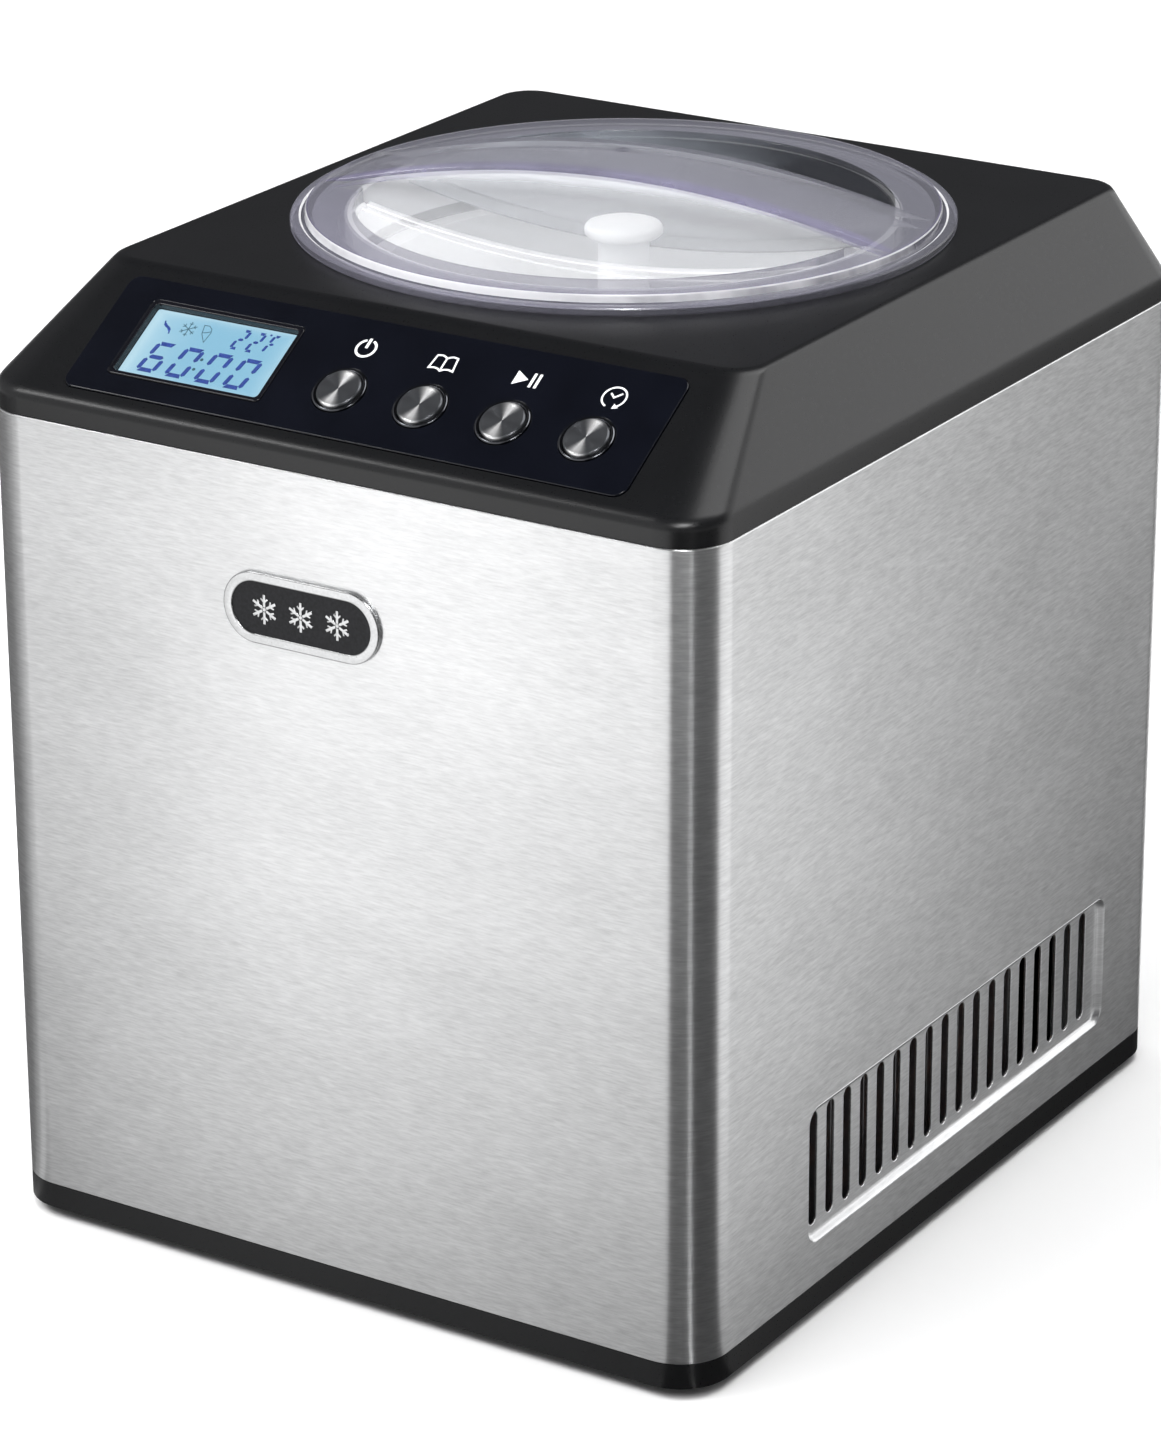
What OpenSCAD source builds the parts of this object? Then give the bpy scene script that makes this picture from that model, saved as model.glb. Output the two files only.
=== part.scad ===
// Compressor ice cream maker: steel-wrapped body, sloped control panel, lift-off clear lid,
// removable bowl and a paddle turned from below by a two-stage gear train.
// Millimetres, +Z up, front towards -Y. The origin is on the floor, under the middle of the body.

/* [Body] */
// Width of the body
body_w = 275; // [265:1:290]
// Depth of the body
body_d = 320; // [315:1:330]
// Radius of the upright corners
corner_r = 18; // [14:1:20]
// Height of the rubber feet
foot_h = 4; // [3:0.5:6]
// Height of the black base band
base_h = 8.7; // [7:0.1:12]
// Height of the steel wrapper
steel_h = 274.9; // [270:0.1:290]
// Height of the upright band of the top housing
band_h = 7.8; // [6:0.1:12]
// Height of the sloped part of the top housing
slope_h = 32.6; // [30:0.1:36]

/* [Top housing] */
// How far the top face is set back at the front
front_inset = 51.9; // [48:0.1:56]
// How far the top face is set back at the rear
rear_inset = 18.3; // [14:0.1:22]
// How far the top face is set in at each side
side_inset = 15.1; // [12:0.1:18]
// Wall of the moulded housing
wall = 2.8; // [2.4:0.1:3.2]
// Thickness of the steel sheet
sheet = 1; // [0.8:0.1:1.2]

/* [Well and bowl] */
// Distance of the well's axis behind the middle of the body
well_y = 16.4; // [12:0.1:20]
// Inner radius of the mixing bowl
bowl_r = 82; // [78:0.5:82]
// Height of the mixing bowl
bowl_h = 113.6; // [105:0.1:114]

/* [Lid] */
// Outer radius of the lid's flange
lid_r = 111.2; // [108:0.1:113]
// Radius of the raised plateau
plateau_r = 106; // [104:0.1:107]
// Height of the plateau above the housing
plateau_h = 5.7; // [5:0.1:7]
// Height of the arched handle's peak above the housing
arch_h = 21; // [18:0.1:24]
// Half the width of the arched handle
arch_half_w = 19.7; // [18:0.1:22]
// Turn of the handle away from the body's width
arch_turn = 7.5; // [0:0.5:15]
// Outer radius of the two finger recesses
scoop_r = 89.5; // [86:0.1:90]

/* [Controls] */
// Travel of each push button
button_travel = 0.8; // [0.5:0.1:0.8]
// Spacing of the push buttons
button_pitch = 30.5; // [28:0.5:31]

/* [Vents] */
// Number of slots in each side vent
vent_count = 18; // [12:1:19]
// Spacing of the slots
vent_pitch = 11.07; // [10:0.01:11.2]

/* [Gear train] */
// Teeth of the gear on the paddle's drive shaft
drive_teeth = 56; // [56:1:56]
// Teeth of the small gear that turns it
small_teeth = 16; // [16:1:16]
// Teeth of the large intermediate gear
large_teeth = 48; // [48:1:48]
// Teeth of the motor's pinion
pinion_teeth = 16; // [16:1:16]

/* [Hidden] */
$fn = 96;
HULL_FN = 32;
eps = 0.01;

// Levels, from the floor up
base_z = foot_h;
floor_z = base_z + 3;
steel_z = base_z + base_h;
band_z = steel_z + steel_h;
slope_z = band_z + band_h;
top_z = slope_z + slope_h;

// The control slope
slope_deg = atan2(slope_h, front_inset);
overlay_size = [212, 48.7];
overlay_s = 30.75;
overlay_low = -0.8;
overlay_high = 0.6;
screen_x = -62.7;
screen_s = 30.5;
bezel_size = [59.6, 32.2];
window_size = [56.1, 28.7];
button_s = 25.2;
button_x = [for (i = [0:3]) -8 + i * button_pitch];
ring_r = 9.05;
cap_r = 7.5;
flange_high = -3;
stem_low = -7;
board_high = -12.4;
switch_gap = 0.1;

// The well
collar_r = 95.2;
ledge_z = top_z - 23.8;
rim_z = top_z - 18.4;
bowl_z = rim_z - bowl_h;
bowl_wall = 1;
tube_r = 11;
tube_h = 64;
can_r = bowl_r + bowl_wall + 1.6;
can_wall = 1.2;
can_floor_z = bowl_z - 1.4;
coil_r = can_r + can_wall + 4.05;
coil_tube_r = 4;
coil_turns = 5;
coil_pitch = 20;
coil_z = can_floor_z + 10;
coil_top_z = coil_z + (coil_turns - 1) * coil_pitch;
foam_r = 118;
foam_top_z = ledge_z - 3;
deck_top_z = 172;
deck_h = 5;
deck_low_z = deck_top_z - deck_h;
inlet_drop = [coil_r, -60];
outlet_drop = [coil_r + 8.35, 120];

// The paddle and its shaft
shaft_r = 6;
run_gap = 0.05;
hex_r = 5.2;
hex_gap = 0.15;
hex_z = bowl_z + tube_h - 0.2;
hex_h = 23.5;
hub_r = 15;
neck_r = 8.65;
knob_r = 13.3;
knob_h = 5.2;
knob_z = top_z - 3.9 - knob_h / 2;
blade_r = bowl_r - 2;
blade_t = 5;

// The gear train
drive_module = 1.5;
motor_module = 1.25;
drive_c = [0, well_y];
mid_c = drive_c + [0, -drive_module * (drive_teeth + small_teeth) / 2];
motor_c = mid_c + [-motor_module * (large_teeth + pinion_teeth) / 2, 0];
gearbox_z = 132;
cover_z = deck_low_z - 3;
drive_gear_z = 138;
mid_gear_z = 150;
gear_wall = 3;
motor_r = 28;
motor_low_z = 66;

// The refrigeration set
comp_c = [-60, 58];
comp_r = 58;
comp_z = 19;
comp_h = 103;
comp_round = 20;
comp_wall = 3;
comp_seam = 56;
comp_foot = [56, 40];
suction_stub = [-85, 75];
discharge_stub = [-60, 30];
stub_top_z = 128;
cond_x = 108;
cond_rows = 5;
cond_pitch = 18;
cond_z = 17;
cond_y = [-72, 88];
cond_tube_r = 4.5;
fin_count = 22;
fan_c = [80.5, 8, 53];
fan_size = 92;
fan_t = 25;
drier_c = [60, -84];
drier_z = [40, 100];

// The rear face
rear_half_w = 110;
inlet_c = [-80, 48];
spacer_h = 1.5;
badge_c = [-9.2, 240.2];
badge_size = [59.6, 24];
badge_proud = 1.5;

// ---------------------------------------------------------------- helpers

// A rectangle with true arcs at its corners
module round_rect(w, d, r) {
    square([w, d - 2 * r], center = true);
    square([w - 2 * r, d], center = true);
    for (sx = [-1, 1], sy = [-1, 1])
        translate([sx * (w / 2 - r), sy * (d / 2 - r)])
            circle(r);
}

// A bar with round ends, lying along X
module stadium(w, d) {
    square([w - d, d], center = true);
    for (sx = [-1, 1])
        translate([sx * (w - d) / 2, 0])
            circle(d / 2);
}

// Children placed on the control slope: x across, s up the slope, h out of it
module on_slope(x = 0, s = 0, h = 0) {
    translate([0, -body_d / 2, slope_z])
        rotate([slope_deg, 0, 0])
            translate([x, s, h])
                children();
}

// Children placed on the well's axis
module on_well(z = 0) {
    translate([0, well_y, z])
        children();
}

// A plain ring
module ring(r_in, r_out, h) {
    difference() {
        cylinder(r = r_out, h = h);
        translate([0, 0, -1])
            cylinder(r = r_in, h = h + 2);
    }
}

// A round bar from one point to another
module bar(a, b, r) {
    v = b - a;
    len = norm(v);
    translate(a)
        rotate([0, acos(v[2] / len), atan2(v[1], v[0])])
            cylinder(r = r, h = len, $fn = 48);
}

// A pipe through a list of points, with a soldered ball joint at each bend
module pipe(points, r) {
    last = len(points) - 1;
    for (i = [0:last - 1])
        bar(points[i], points[i + 1], r);
    for (i = [1:last - 1])
        translate(points[i])
            sphere(r = 1.25 * r, $fn = 48);
}

// A point at a radius and an angle from the well's axis
function from_well(polar, z) =
    [polar[0] * cos(polar[1]), well_y + polar[0] * sin(polar[1]), z];

// ---------------------------------------------------------------- gear teeth

pressure = 20;
backlash = 0.12;
function inv_deg(a) = tan(a) * 180 / PI - a;
function tooth_half(n, m, r) =
    let (rp = n * m / 2, rb = rp * cos(pressure), rr = max(r, rb))
    90 / n - backlash / rp * 90 / PI + inv_deg(pressure) - inv_deg(acos(min(1, rb / rr)));
function tooth_radii(n, m) =
    let (rp = n * m / 2) [rp - 1.25 * m, rp - 0.55 * m, rp, rp + 0.5 * m, rp + 0.9 * m];
function gear_points(n, m) =
    let (radii = tooth_radii(n, m), last = len(radii) - 1)
    [for (i = [0:n - 1], k = [0:2 * last + 1])
        let (
            j = k <= last ? k : 2 * last + 1 - k,
            side = k <= last ? -1 : 1,
            a = 360 * i / n + side * tooth_half(n, m, radii[j])
        )
        radii[j] * [cos(a), sin(a)]];

module gear(n, m, h) {
    linear_extrude(h)
        polygon(gear_points(n, m));
}

// ---------------------------------------------------------------- base

foot_x = 112;
foot_y = 134;
screw_head_r = 4;
screw_r = 2;

module at_feet() {
    for (sx = [-1, 1], sy = [-1, 1])
        translate([sx * foot_x, sy * foot_y, 0])
            children();
}

module base_tray() {
    lip_gap = 0.2;
    lip_t = 2;
    lip_h = 9;
    slot = [5, 46];
    color("#1d1e20")
    difference() {
        union() {
            translate([0, 0, base_z])
                linear_extrude(base_h)
                    round_rect(body_w, body_d, corner_r);
            translate([0, 0, steel_z])
                linear_extrude(lip_h)
                    round_rect(body_w - 2 * (sheet + lip_gap), body_d - 2 * (sheet + lip_gap),
                               corner_r - sheet - lip_gap);
        }
        translate([0, 0, floor_z])
            linear_extrude(base_h + lip_h)
                round_rect(body_w - 2 * (sheet + lip_gap + lip_t),
                           body_d - 2 * (sheet + lip_gap + lip_t),
                           corner_r - sheet - lip_gap - lip_t);
        at_feet()
            translate([0, 0, base_z - 1])
                cylinder(r = screw_r + 0.1, h = 6);
        for (i = [-4:4])
            translate([62 + i * 10, -90, base_z - 1])
                linear_extrude(6)
                    rotate(90)
                        stadium(slot[1], slot[0]);
        translate([-rear_half_w - 9, body_d / 2 - 8, steel_z])
            cube([2 * rear_half_w + 18, 10, base_h + lip_h]);
    }
    color("#1d1e20")
    for (sx = [-1, 1])
        translate([sx * 62 - 3, -146, floor_z])
            difference() {
                cube([6, 10, 12]);
                translate([-1, 5 - 1, 0])
                    cube([8, 2, 13]);
            }
}

module rubber_feet() {
    color("#151515")
    at_feet()
        difference() {
            rotate_extrude()
                polygon([[0, 0], [10, 0], [11, 1], [11, foot_h], [0, foot_h]]);
            translate([0, 0, -1])
                cylinder(r = screw_r + 0.1, h = foot_h + 2);
            translate([0, 0, -1])
                cylinder(r = screw_head_r + 0.3, h = 3);
        }
}

module foot_screws() {
    color("#9a9da1")
    at_feet() {
        translate([0, 0, 0.6])
            cylinder(r = screw_head_r, h = 1.4);
        translate([0, 0, 2])
            cylinder(r = screw_r, h = floor_z - 2.1);
    }
}

// ---------------------------------------------------------------- shell

vent_y = [-92, 116];
vent_z = [base_z + 24, base_z + 73];
vent_slot_z = [base_z + 29.5, base_z + 70];
vent_depth = 2;
vent_first_y = -85.6;
vent_slot_w = 5;

// Children drawn in the plane of a side face, x along the body's depth and y up
module on_side(x) {
    translate([x, 0, 0])
        rotate([90, 0, 90])
            children();
}

module vent_outline(grow) {
    translate([(vent_y[0] + vent_y[1]) / 2, (vent_z[0] + vent_z[1]) / 2])
        round_rect(vent_y[1] - vent_y[0] + 2 * grow, vent_z[1] - vent_z[0] + 2 * grow,
                   6 + grow);
}

// The pressed pan of the right-hand vent, before its slots are cut
module vent_pan() {
    difference() {
        on_side(body_w / 2 - vent_depth - sheet)
            linear_extrude(vent_depth + sheet)
                vent_outline(0);
        hull() {
            on_side(body_w / 2 - vent_depth)
                linear_extrude(eps)
                    vent_outline(-2.6, $fn = HULL_FN);
            on_side(body_w / 2)
                linear_extrude(1)
                    vent_outline(-0.4, $fn = HULL_FN);
        }
    }
}

module vent_slots() {
    for (i = [0:vent_count - 1])
        on_side(body_w / 2 - 6)
            linear_extrude(8)
                translate([vent_first_y + i * vent_pitch, (vent_slot_z[0] + vent_slot_z[1]) / 2])
                    rotate(90)
                        stadium(vent_slot_z[1] - vent_slot_z[0], vent_slot_w);
}

module steel_wrapper() {
    color("#c9cbcc") {
        difference() {
            translate([0, 0, steel_z])
                linear_extrude(steel_h)
                    difference() {
                        round_rect(body_w, body_d, corner_r);
                        round_rect(body_w - 2 * sheet, body_d - 2 * sheet, corner_r - sheet);
                        translate([-rear_half_w, body_d / 2 - 5])
                            square([2 * rear_half_w, 10]);
                    }
            for (side = [0, 1])
                mirror([side, 0, 0])
                    on_side(body_w / 2 - 6)
                        linear_extrude(8)
                            vent_outline(0);
            at_rear_screws()
                translate([0, 0, -6])
                    cylinder(r = 1.7, h = 10);
        }
        for (side = [0, 1])
            mirror([side, 0, 0])
                difference() {
                    vent_pan();
                    vent_slots();
                }
    }
}

rear_screw_x = 114;
rear_screw_z = [steel_z + 14, steel_z + steel_h / 2, band_z - 14];

module at_rear_screws() {
    for (sx = [-1, 1], z = rear_screw_z)
        translate([sx * rear_screw_x, body_d / 2, z])
            rotate([-90, 0, 0])
                children();
}

module rear_panel() {
    tongue = 8;
    slot_rows = [steel_z + 82, steel_z + 122, steel_z + 162];
    color("#222325")
    difference() {
        union() {
            translate([-rear_half_w + 0.2, body_d / 2 - sheet - 0.2, steel_z + 0.2])
                cube([2 * rear_half_w - 0.4, sheet + 0.2, steel_h - 0.4]);
            translate([-rear_half_w - tongue, body_d / 2 - sheet - 2.2, steel_z + 0.2])
                cube([2 * (rear_half_w + tongue), 2, steel_h - 0.4]);
            for (sx = [-1, 1])
                translate([sx * 70, body_d / 2 - 0.5, band_z - 40])
                    rotate([-90, 0, 0])
                        cylinder(r = 9, h = spacer_h + 0.5);
        }
        for (row = slot_rows, i = [-8:8])
            translate([i * 10, body_d / 2, row])
                rotate([90, 0, 0])
                    translate([0, 0, -2])
                        linear_extrude(8)
                            rotate(90)
                                stadium(30, 4.5);
        translate([inlet_c[0], body_d / 2 + 3, inlet_c[1]])
            rotate([90, 0, 0])
                linear_extrude(10)
                    round_rect(28.2, 20.4, 2.5);
        at_rear_screws()
            translate([0, 0, -6])
                cylinder(r = 1.7, h = 10);
    }
}

module rear_screws() {
    color("#8d9093")
    at_rear_screws() {
        translate([0, 0, 0.02])
            cylinder(r = 3.2, h = 1.3);
        translate([0, 0, -7])
            cylinder(r = 1.6, h = 7.1);
    }
}

// Plan outline of the housing at a height up its slopes, moved in by the given margins
module slope_outline(z, in_front, in_back, in_side, r) {
    f = (z - slope_z) / slope_h;
    y0 = -body_d / 2 + f * front_inset + in_front;
    y1 = body_d / 2 - f * rear_inset - in_back;
    half = body_w / 2 - f * side_inset - in_side;
    translate([0, (y0 + y1) / 2])
        round_rect(2 * half, y1 - y0, r);
}

// Distance that a wall of the given inset takes up in plan
function plan_wall(inset) = wall / sin(atan2(slope_h, inset));

module housing_slope() {
    hull() {
        translate([0, 0, slope_z - eps])
            linear_extrude(eps)
                slope_outline(slope_z, 0, 0, 0, corner_r, $fn = HULL_FN);
        translate([0, 0, top_z - eps])
            linear_extrude(eps)
                slope_outline(top_z, 0, 0, 0, 12, $fn = HULL_FN);
    }
}

module housing_hollow() {
    in_f = plan_wall(front_inset);
    in_b = plan_wall(rear_inset);
    in_s = plan_wall(side_inset);
    hull() {
        translate([0, 0, slope_z - 1])
            linear_extrude(1)
                slope_outline(slope_z, in_f, in_b, in_s, corner_r - wall, $fn = HULL_FN);
        translate([0, 0, top_z - wall - eps])
            linear_extrude(eps)
                slope_outline(top_z - wall, in_f, in_b, in_s, 9, $fn = HULL_FN);
    }
    translate([0, 0, band_z - 12])
        linear_extrude(band_h + 12 - 0.5)
            round_rect(body_w - 2 * 4, body_d - 2 * 4, corner_r - 4);
}

module top_housing() {
    lip_h = 7;
    color("#242527")
    difference() {
        union() {
            difference() {
                union() {
                    housing_slope();
                    translate([0, 0, band_z])
                        linear_extrude(band_h)
                            round_rect(body_w, body_d, corner_r);
                    translate([0, 0, band_z - lip_h])
                        linear_extrude(lip_h)
                            difference() {
                                round_rect(body_w - 2 * (sheet + 0.2), body_d - 2 * (sheet + 0.2),
                                           corner_r - sheet - 0.2);
                                translate([-rear_half_w - 9, body_d / 2 - 8])
                                    square([2 * rear_half_w + 18, 10]);
                            }
                }
                housing_hollow();
            }
            for (sx = [-1, 1], post_s = [10, 44])
                on_slope(sx * 96.5, post_s, board_high + 0.02)
                    cylinder(r = 3, h = -board_high - wall / 2);
            on_well(ledge_z - 2.7)
                cylinder(r = collar_r + 2.8, h = top_z - wall / 2 - ledge_z + 2.7);
        }
        on_well(ledge_z - 5)
            cylinder(r = can_r + can_wall + 1.7, h = 60);
        on_well(ledge_z)
            cylinder(r = collar_r, h = 60);
        on_slope(0, overlay_s, overlay_low)
            linear_extrude(5)
                round_rect(overlay_size[0] + 0.4, overlay_size[1] + 0.4, 4.7);
        on_slope(screen_x, screen_s, -8)
            linear_extrude(10)
                round_rect(bezel_size[0] + 0.4, bezel_size[1] + 0.4, 2.2);
        for (x = button_x)
            on_slope(x, button_s, -8)
                cylinder(r = ring_r + 0.15, h = 10);
    }
}

module badge_frame() {
    color("#b9bcc0")
    translate([badge_c[0], -body_d / 2, badge_c[1]])
        rotate([90, 0, 0])
            linear_extrude(badge_proud)
                difference() {
                    stadium(badge_size[0], badge_size[1]);
                    stadium(badge_size[0] - 6.4, badge_size[1] - 6.4);
                }
}

module badge_plate() {
    color("#1a1c20")
    translate([badge_c[0], -body_d / 2, badge_c[1]])
        rotate([90, 0, 0])
            linear_extrude(badge_proud - 0.5)
                stadium(badge_size[0] - 6.6, badge_size[1] - 6.6);
}

// ---------------------------------------------------------------- controls

module control_overlay() {
    color("#101218")
    difference() {
        on_slope(0, overlay_s, overlay_low)
            linear_extrude(overlay_high - overlay_low)
                round_rect(overlay_size[0], overlay_size[1], 4.5);
        on_slope(screen_x, screen_s, -3)
            linear_extrude(6)
                round_rect(bezel_size[0] + 0.2, bezel_size[1] + 0.2, 2.1);
        for (x = button_x)
            on_slope(x, button_s, -3)
                cylinder(r = ring_r + 0.1, h = 6);
    }
}

module display_bezel() {
    color("#0c0d10")
    on_slope(screen_x, screen_s, -2.6)
        linear_extrude(overlay_high + 0.3 + 2.6)
            difference() {
                round_rect(bezel_size[0], bezel_size[1], 2);
                round_rect(window_size[0] + 0.2, window_size[1] + 0.2, 1);
            }
}

module display_lens() {
    color("#cfe3ea", 0.35)
    on_slope(screen_x, screen_s, -1.2)
        linear_extrude(0.7)
            round_rect(window_size[0], window_size[1], 0.9);
}

module display_module() {
    color("#7fb9d6")
    on_slope(screen_x, screen_s, -9)
        linear_extrude(7.4)
            square([window_size[0] - 0.4, window_size[1] - 0.4], center = true);
}

module control_board() {
    board = [200, 42, 1.6];
    color("#1e5a3a") {
        on_slope(-board[0] / 2, 6, board_high - board[2])
            cube(board);
        on_slope(screen_x - 18, screen_s - 10, board_high)
            cube([36, 20, 3]);
        on_slope(-10, 7, board_high - board[2] - 3)
            cube([20, 5, 3]);
    }
}

module tact_switches() {
    body_h = 3.4;
    color("#b6b8ba")
    for (x = button_x)
        on_slope(x, button_s, board_high) {
            translate([-3, -3, 0])
                cube([6, 6, body_h]);
            cylinder(r = 1.7, h = stem_low - button_travel - switch_gap - board_high);
        }
}

module button_rings() {
    color("#6c6f74")
    for (x = button_x)
        on_slope(x, button_s, flange_high + 0.1)
            difference() {
                rotate_extrude()
                    polygon([[0, 0], [ring_r, 0], [ring_r, 3.9], [ring_r - 0.4, 4.3],
                             [cap_r + 0.5, 4.3], [cap_r + 0.2, 4], [0, 4]]);
                translate([0, 0, -1])
                    cylinder(r = cap_r + 0.2, h = 8);
            }
}

// One push button: domed cap, retaining flange and the stem that meets the switch
module push_button(i) {
    cap_high = 1.9;
    color("#55585d")
    on_slope(button_x[i], button_s, 0) {
        rotate_extrude()
            polygon([[0, flange_high], [cap_r, flange_high], [cap_r, cap_high - 0.7],
                     [cap_r - 0.7, cap_high], [0, cap_high]]);
        translate([0, 0, flange_high - 1.3])
            cylinder(r = cap_r + 1.2, h = 1.3);
        translate([0, 0, stem_low])
            cylinder(r = 2.6, h = flange_high - stem_low);
    }
}

module button_power() { push_button(0); }
module button_menu() { push_button(1); }
module button_start() { push_button(2); }
module button_timer() { push_button(3); }

// ---------------------------------------------------------------- well and bowl

module well_can() {
    rim_r = collar_r - 1.7;
    color("#b4b7ba")
    on_well()
        difference() {
            rotate_extrude()
                polygon([
                    [shaft_r + 2.2, can_floor_z - can_wall], [can_r + can_wall, can_floor_z - can_wall],
                    [can_r + can_wall, ledge_z], [rim_r, ledge_z], [rim_r, ledge_z + 1.2],
                    [can_r, ledge_z + 1.2], [can_r, can_floor_z], [shaft_r + 2.2, can_floor_z]
                ]);
            translate([0, 0, can_floor_z - 5])
                cylinder(r = shaft_r + 2.2, h = 10);
        }
}

module evaporator_coil() {
    color("#b87245") {
        for (i = [0:coil_turns - 1])
            on_well(coil_z + i * coil_pitch)
                rotate_extrude()
                    translate([coil_r, 0])
                        circle(coil_tube_r, $fn = 24);
        for (i = [0:coil_turns - 2]) {
            a = -60 + 30 * (i + 1);
            bar(from_well([coil_r, a], coil_z + i * coil_pitch),
                from_well([coil_r, a], coil_z + (i + 1) * coil_pitch), 3);
        }
        bar(from_well(inlet_drop, 160), from_well(inlet_drop, coil_z), 3);
        bar(from_well(outlet_drop, 160), from_well(outlet_drop, coil_top_z), 3.5);
        bar(from_well(outlet_drop, coil_top_z), from_well([coil_r, outlet_drop[1]], coil_top_z), 3);
        translate(from_well(outlet_drop, coil_top_z))
            sphere(r = 4, $fn = 48);
    }
}

module insulation_foam() {
    bore_r = coil_r + coil_tube_r + 0.4;
    color("#e8dfb8")
    difference() {
        on_well(deck_top_z)
            cylinder(r = foam_r, h = foam_top_z - deck_top_z);
        on_well(can_floor_z - can_wall)
            cylinder(r = bore_r, h = 200);
        on_well(deck_top_z - 1)
            cylinder(r = 14, h = 60);
        bar(from_well(inlet_drop, 100), from_well(inlet_drop, 250), 3.6);
        bar(from_well(outlet_drop, 100), from_well(outlet_drop, foam_top_z + 10), 4.2);
        bar(from_well(outlet_drop, coil_top_z), from_well([coil_r, outlet_drop[1]], coil_top_z), 3.6);
    }
}

module well_gasket() {
    color("#77797c")
    on_well(ledge_z + 1.25)
        ring(bowl_r + bowl_wall + 2.6, collar_r - 1.8, rim_z - bowl_wall - ledge_z - 1.3);
}

module mixing_bowl() {
    rim_r = bowl_r + 7.5;
    foot_r = 9;
    out_r = bowl_r + bowl_wall;
    color("#c6c8ca")
    on_well()
        rotate_extrude()
            difference() {
                union() {
                    translate([0, bowl_z + foot_r])
                        square([out_r, bowl_h - foot_r]);
                    translate([0, bowl_z])
                        square([out_r - foot_r, bowl_h]);
                    translate([out_r - foot_r, bowl_z + foot_r])
                        circle(foot_r);
                    translate([0, rim_z - bowl_wall])
                        square([rim_r, bowl_wall]);
                }
                difference() {
                    union() {
                        translate([0, bowl_z + foot_r])
                            square([bowl_r, bowl_h]);
                        translate([0, bowl_z + bowl_wall])
                            square([out_r - foot_r, bowl_h]);
                        translate([out_r - foot_r, bowl_z + foot_r])
                            circle(foot_r - bowl_wall);
                    }
                    square([tube_r, bowl_z + tube_h]);
                }
                square([tube_r - 1.6, 400]);
            }
}

module paddle() {
    socket_z = bowl_z + tube_h + 0.4;
    arm_low = bowl_z + bowl_wall + 3;
    arm_top = rim_z - 24;
    color("#f2f3f2") {
        on_well()
            difference() {
                rotate_extrude()
                    polygon([
                        [0, arm_low], [hub_r, arm_low], [hub_r, hex_z + hex_h + 2],
                        [neck_r, hex_z + hex_h + 8], [neck_r, knob_z], [4, knob_z],
                        [4, knob_z + 3], [0, knob_z + 3]
                    ]);
                translate([0, 0, arm_low - 1])
                    cylinder(r = tube_r + 0.7, h = socket_z - arm_low + 1);
                translate([0, 0, socket_z - 1])
                    cylinder(r = hex_r + hex_gap, h = hex_z + hex_h + 0.5 - socket_z + 1, $fn = 6);
            }
        for (side = [0, 180])
            on_well()
                rotate(side) {
                    translate([hub_r - 1, -blade_t / 2, arm_low])
                        cube([blade_r - hub_r + 1 - 9, blade_t, 9]);
                    translate([blade_r - 8, -blade_t / 2, arm_low + 9])
                        cube([8, blade_t, arm_top - arm_low - 9]);
                    translate([hub_r - 1, -blade_t / 2, arm_top - 9])
                        cube([blade_r - hub_r + 1, blade_t, 9]);
                    translate([blade_r - 9.5, blade_t / 2, arm_low + 9])
                        rotate([90, 0, 0])
                            cylinder(r = 9, h = blade_t);
                    translate([(hub_r + blade_r) / 2 - 9, -blade_t / 2, arm_low + 8])
                        cube([9, blade_t, arm_top - arm_low - 16]);
                }
    }
}

module paddle_knob() {
    color("#fafbfa")
    on_well(knob_z)
        difference() {
            rotate_extrude()
                intersection() {
                    square([knob_r, knob_h]);
                    translate([0, -30.5 + knob_h])
                        circle(30.5, $fn = 96);
                    union() {
                        square([knob_r - 2.4, knob_h]);
                        translate([knob_r - 2.4, 2.4])
                            circle(2.4, $fn = 48);
                        translate([0, 2.4])
                            square([knob_r, 0.01]);
                    }
                }
            translate([0, 0, -1])
                cylinder(r = 4.05, h = 4.1);
        }
}

// ---------------------------------------------------------------- lid

lid_wall = 2.5;
lid_depth = 15;
skirt_r = 93;
flange_h = 3;
scoop_low = -11.5;
scoop_lip = 0.6;
scoop_bend_r = 330;
scoop_run = scoop_r - arch_half_w;
scoop_deg = atan2(plateau_h - scoop_lip - scoop_low, scoop_run);
arch_reach = plateau_r - 3;
arch_rise = arch_h - plateau_h;
arch_bend_r = (arch_reach * arch_reach + arch_rise * arch_rise) / (2 * arch_rise);

// A long cylinder whose top line is the handle's crest, lying across the handle
module arch_roll(shrink) {
    translate([0, 0, arch_h - arch_bend_r])
        rotate([90, 0, 0])
            translate([0, 0, -200])
                cylinder(r = arch_bend_r - shrink, h = 400, $fn = 360);
}

// The handle as a solid strip, narrower and lower by the given amount
module arch_strip(shrink, reach) {
    intersection() {
        arch_roll(shrink);
        cylinder(r = reach, h = 40);
        translate([-150, -arch_half_w + shrink, 0])
            cube([300, 2 * (arch_half_w - shrink), 60]);
    }
}

// One finger recess on the -Y side of the handle: a round edge and a floor that slopes down
// to the handle and curls up towards both ends
module scoop(grow) {
    intersection() {
        translate([0, 0, -30])
            cylinder(r = scoop_r + grow, h = 70);
        translate([-150, -150, -30])
            cube([300, 150 - arch_half_w + grow, 90]);
        translate([0, -arch_half_w, scoop_low])
            rotate([90 - scoop_deg, 0, 0])
                translate([0, scoop_bend_r, -60])
                    cylinder(r = scoop_bend_r + grow, h = 220, $fn = 360);
    }
}

module both_scoops(grow) {
    for (turn = [0, 180])
        rotate(turn)
            scoop(grow);
}

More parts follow.
